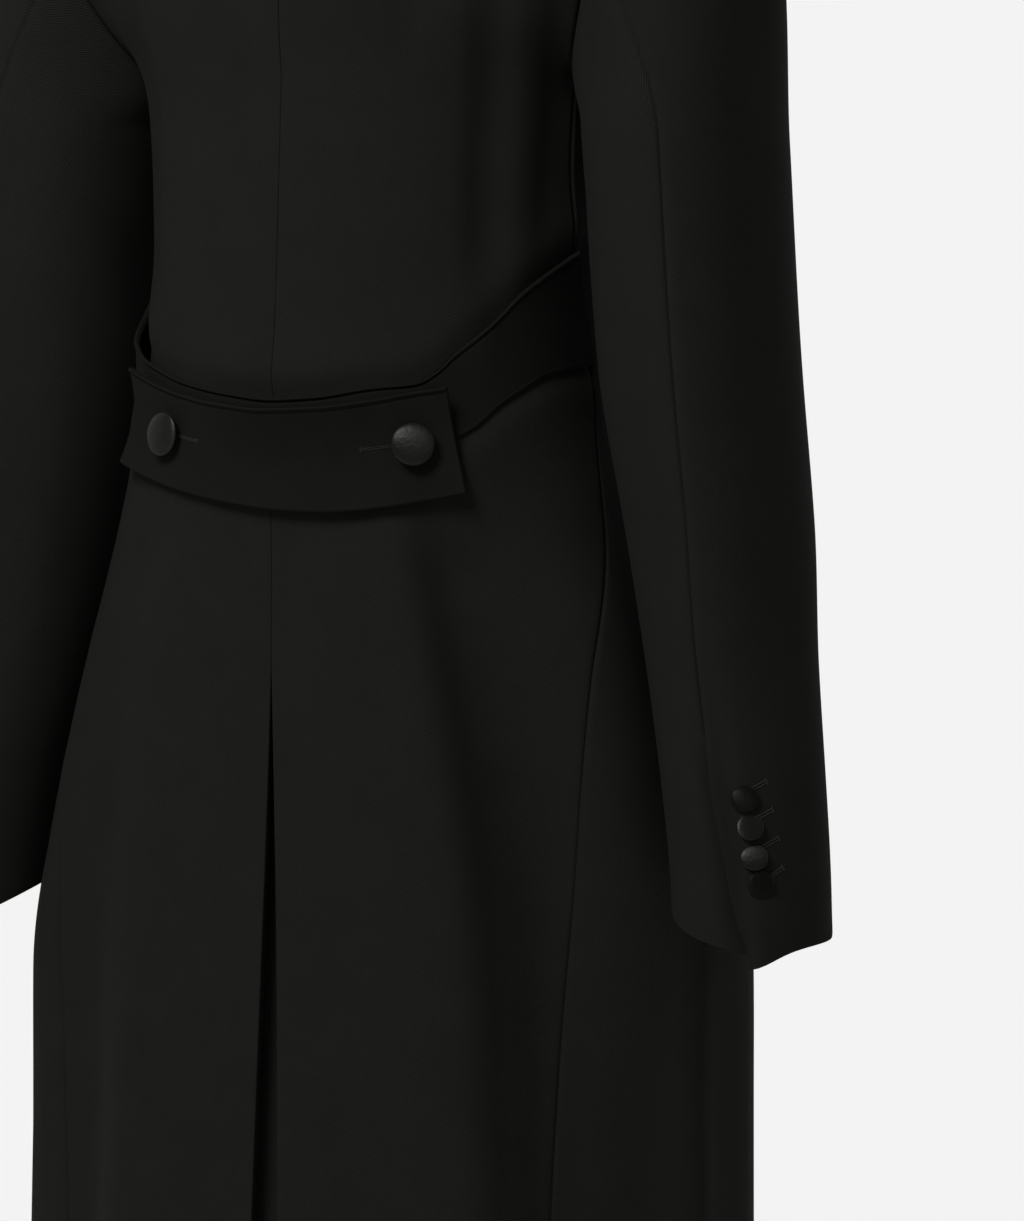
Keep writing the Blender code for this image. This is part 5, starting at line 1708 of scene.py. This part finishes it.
class COAT_OT_buttons(bpy.types.Operator):
    """Make the covered buttons and the worked buttonholes"""
    bl_idname = "coat.make_buttons"
    bl_label = "Make buttons"

    def execute(self, context):
        # turned is the darker copy of the satin, painted shade for two cuff buttons
        satin, turned = need("silk_satin"), need("silk_satin_painted_shade")
        thread = need("buttonhole_thread")
        belt = ("belt", "belt_button", BELT_BUTTONS, BELT_SLITS, on_tab, 1)
        front = ("front", "front_button", FRONT_BUTTONS, FRONT_SLITS, on_front, 1)
        cuffs = [(f"cuff_{word}", f"cuff_button_{word}", CUFF_BUTTONS, CUFF_SLITS,
                  on_sleeve(side), -side) for word, side in SIDES]
        for _, node, buttons, _, surface, facing in (belt, *cuffs, front):
            for number, button in enumerate(buttons, 1):
                normal = outward_at(surface, button.angle, button.height) * facing
                # cuff buttons in painted shade take the darker copy of the satin
                shaded_copy = buttons is CUFF_BUTTONS and number in SHADED_CUFF_BUTTONS
                place_button(f"{node}_{number}", button, normal, turned if shaded_copy else satin)
        for group, _, buttons, slits, surface, _ in (belt, front, *cuffs):
            size = BELT_SLIT_SIZE if buttons is BELT_BUTTONS else 1.0
            for number, (button, slit) in enumerate(zip(buttons, slits), 1):
                start, end = [(button.angle + turn, button.height + rise)
                              for turn, rise in slit]
                buttonhole(f"buttonhole_{group}_{number}", start, end, surface, thread, size)
        return {"FINISHED"}


VIEW_TURN = 210.0           # degrees round from the front, towards the wearer's right
VIEW_CENTRE = Vector((-0.06097, -0.0352, -0.48223))
VIEW_SPAN = 0.67155         # height of the picture at the coat
SENSOR = 36.0
KEY_PLACE = (1.43, 1.89, 2.0)           # from the view's centre: left, near and up
KEY_SIZE = 1.3
KEY_COLOUR = (1.0, 0.99, 0.97)
FILL_PLACE = Vector((1.6, -2.6, 1.2))   # from the view's centre
FILL_SIZE = 2.0
FILL_COLOUR = (1.0, 1.0, 1.0)
BACKDROP_FADE = (-0.25, 0.45)           # cosines of the angles where it starts and is full


def add_area(name, place, target, size, power, colour):
    light = bpy.data.lights.new(name, "AREA")
    light.shape = "DISK"
    light.size = size
    light.energy = power
    light.color = colour
    lamp = bpy.data.objects.new(name, light)
    lamp.matrix_world = (Matrix.Translation(place)
                         @ (target - place).to_track_quat("-Z", "Y").to_matrix().to_4x4())
    bpy.context.scene.collection.objects.link(lamp)


def studio_room(name, behind, bright, dim):
    """A white backdrop behind the coat, fading to the greyer room it is seen from."""
    world = bpy.data.worlds.new(name)
    world.use_nodes = True
    tree = world.node_tree
    background = tree.nodes["Background"]
    way = add_node(tree, "ShaderNodeTexCoord").outputs["Generated"]
    facing = add_node(tree, "ShaderNodeVectorMath", {"operation": "DOT_PRODUCT"}, {
        0: way, 1: tuple(behind)}).outputs["Value"]
    white = add_node(tree, "ShaderNodeMapRange", {"interpolation_type": "SMOOTHSTEP"}, {
        "Value": facing, "From Min": BACKDROP_FADE[0], "From Max": BACKDROP_FADE[1],
        "To Min": dim, "To Max": bright}).outputs["Result"]
    tree.links.new(white, background.inputs["Color"])
    return world


class COAT_OT_stage(bpy.types.Operator):
    """Set the floor, the lights and the camera"""
    bl_idname = "coat.set_stage"
    bl_label = "Set stage"

    def execute(self, context):
        stage, scene = context.scene.coat_stage, context.scene
        mesh = bmesh.new()
        bmesh.ops.create_circle(mesh, cap_ends=True, radius=FLOOR_RADIUS, segments=96,
                                matrix=Matrix.Translation((0.0, 0.0, stage.floor)))
        data = bpy.data.meshes.new("floor")
        mesh.to_mesh(data)
        mesh.free()
        data.materials.append(painted_floor("matt_floor_paint", stage.floor_colour))
        floor = bpy.data.objects.new("floor", data)
        scene.collection.objects.link(floor)
        turn = math.radians(VIEW_TURN)
        towards = Vector((math.sin(turn), -math.cos(turn), 0.0))
        leftwards = Vector((towards.y, -towards.x, 0.0))
        scene.world = studio_room("white_backdrop", -towards, stage.backdrop, stage.room)
        scene.view_settings.view_transform = "Standard"
        left, near, up = KEY_PLACE
        key = VIEW_CENTRE + leftwards * left + towards * near + Vector((0.0, 0.0, up))
        add_area("key", key, VIEW_CENTRE, KEY_SIZE, stage.key, KEY_COLOUR)
        add_area("fill", VIEW_CENTRE + FILL_PLACE, VIEW_CENTRE, FILL_SIZE, stage.fill,
                 FILL_COLOUR)
        camera = bpy.data.objects.new("camera", bpy.data.cameras.new("camera"))
        camera.data.sensor_width = SENSOR
        camera.data.lens = SENSOR * stage.distance / VIEW_SPAN
        camera.data.clip_end = 200.0
        camera.matrix_world = (Matrix.Translation(VIEW_CENTRE + towards * stage.distance)
                               @ towards.to_track_quat("Z", "Y").to_matrix().to_4x4())
        scene.collection.objects.link(camera)
        scene.camera = camera
        return {"FINISHED"}


STEPS = (COAT_OT_materials, COAT_OT_body, COAT_OT_sleeves, COAT_OT_belt, COAT_OT_collar,
         COAT_OT_buttons, COAT_OT_stage)


class COAT_PT_panel(bpy.types.Panel):
    """The coat's steps and sizes"""
    bl_idname = "COAT_PT_panel"
    bl_label = "Tuxedo Coat"
    bl_space_type = "VIEW_3D"
    bl_region_type = "UI"
    bl_category = "Coat"

    def draw(self, context):
        for step in STEPS:
            self.layout.operator(step.bl_idname)
        for group in (context.scene.coat_cloth, context.scene.coat_stage):
            for name in group.__annotations__:
                self.layout.prop(group, name)


CLASSES = (CoatCloth, CoatStage, *STEPS, COAT_PT_panel)


def register():
    for item in CLASSES:
        bpy.utils.register_class(item)
    bpy.types.Scene.coat_cloth = PointerProperty(type=CoatCloth)
    bpy.types.Scene.coat_stage = PointerProperty(type=CoatStage)


def unregister():
    del bpy.types.Scene.coat_cloth
    del bpy.types.Scene.coat_stage
    for item in reversed(CLASSES):
        bpy.utils.unregister_class(item)


def main():
    register()
    bpy.ops.coat.make_materials()
    bpy.ops.coat.make_body()
    bpy.ops.coat.make_sleeves()
    bpy.ops.coat.make_belt()
    bpy.ops.coat.make_collar()
    bpy.ops.coat.make_buttons()
    bpy.ops.coat.set_stage()


if __name__ == "__main__":
    main()
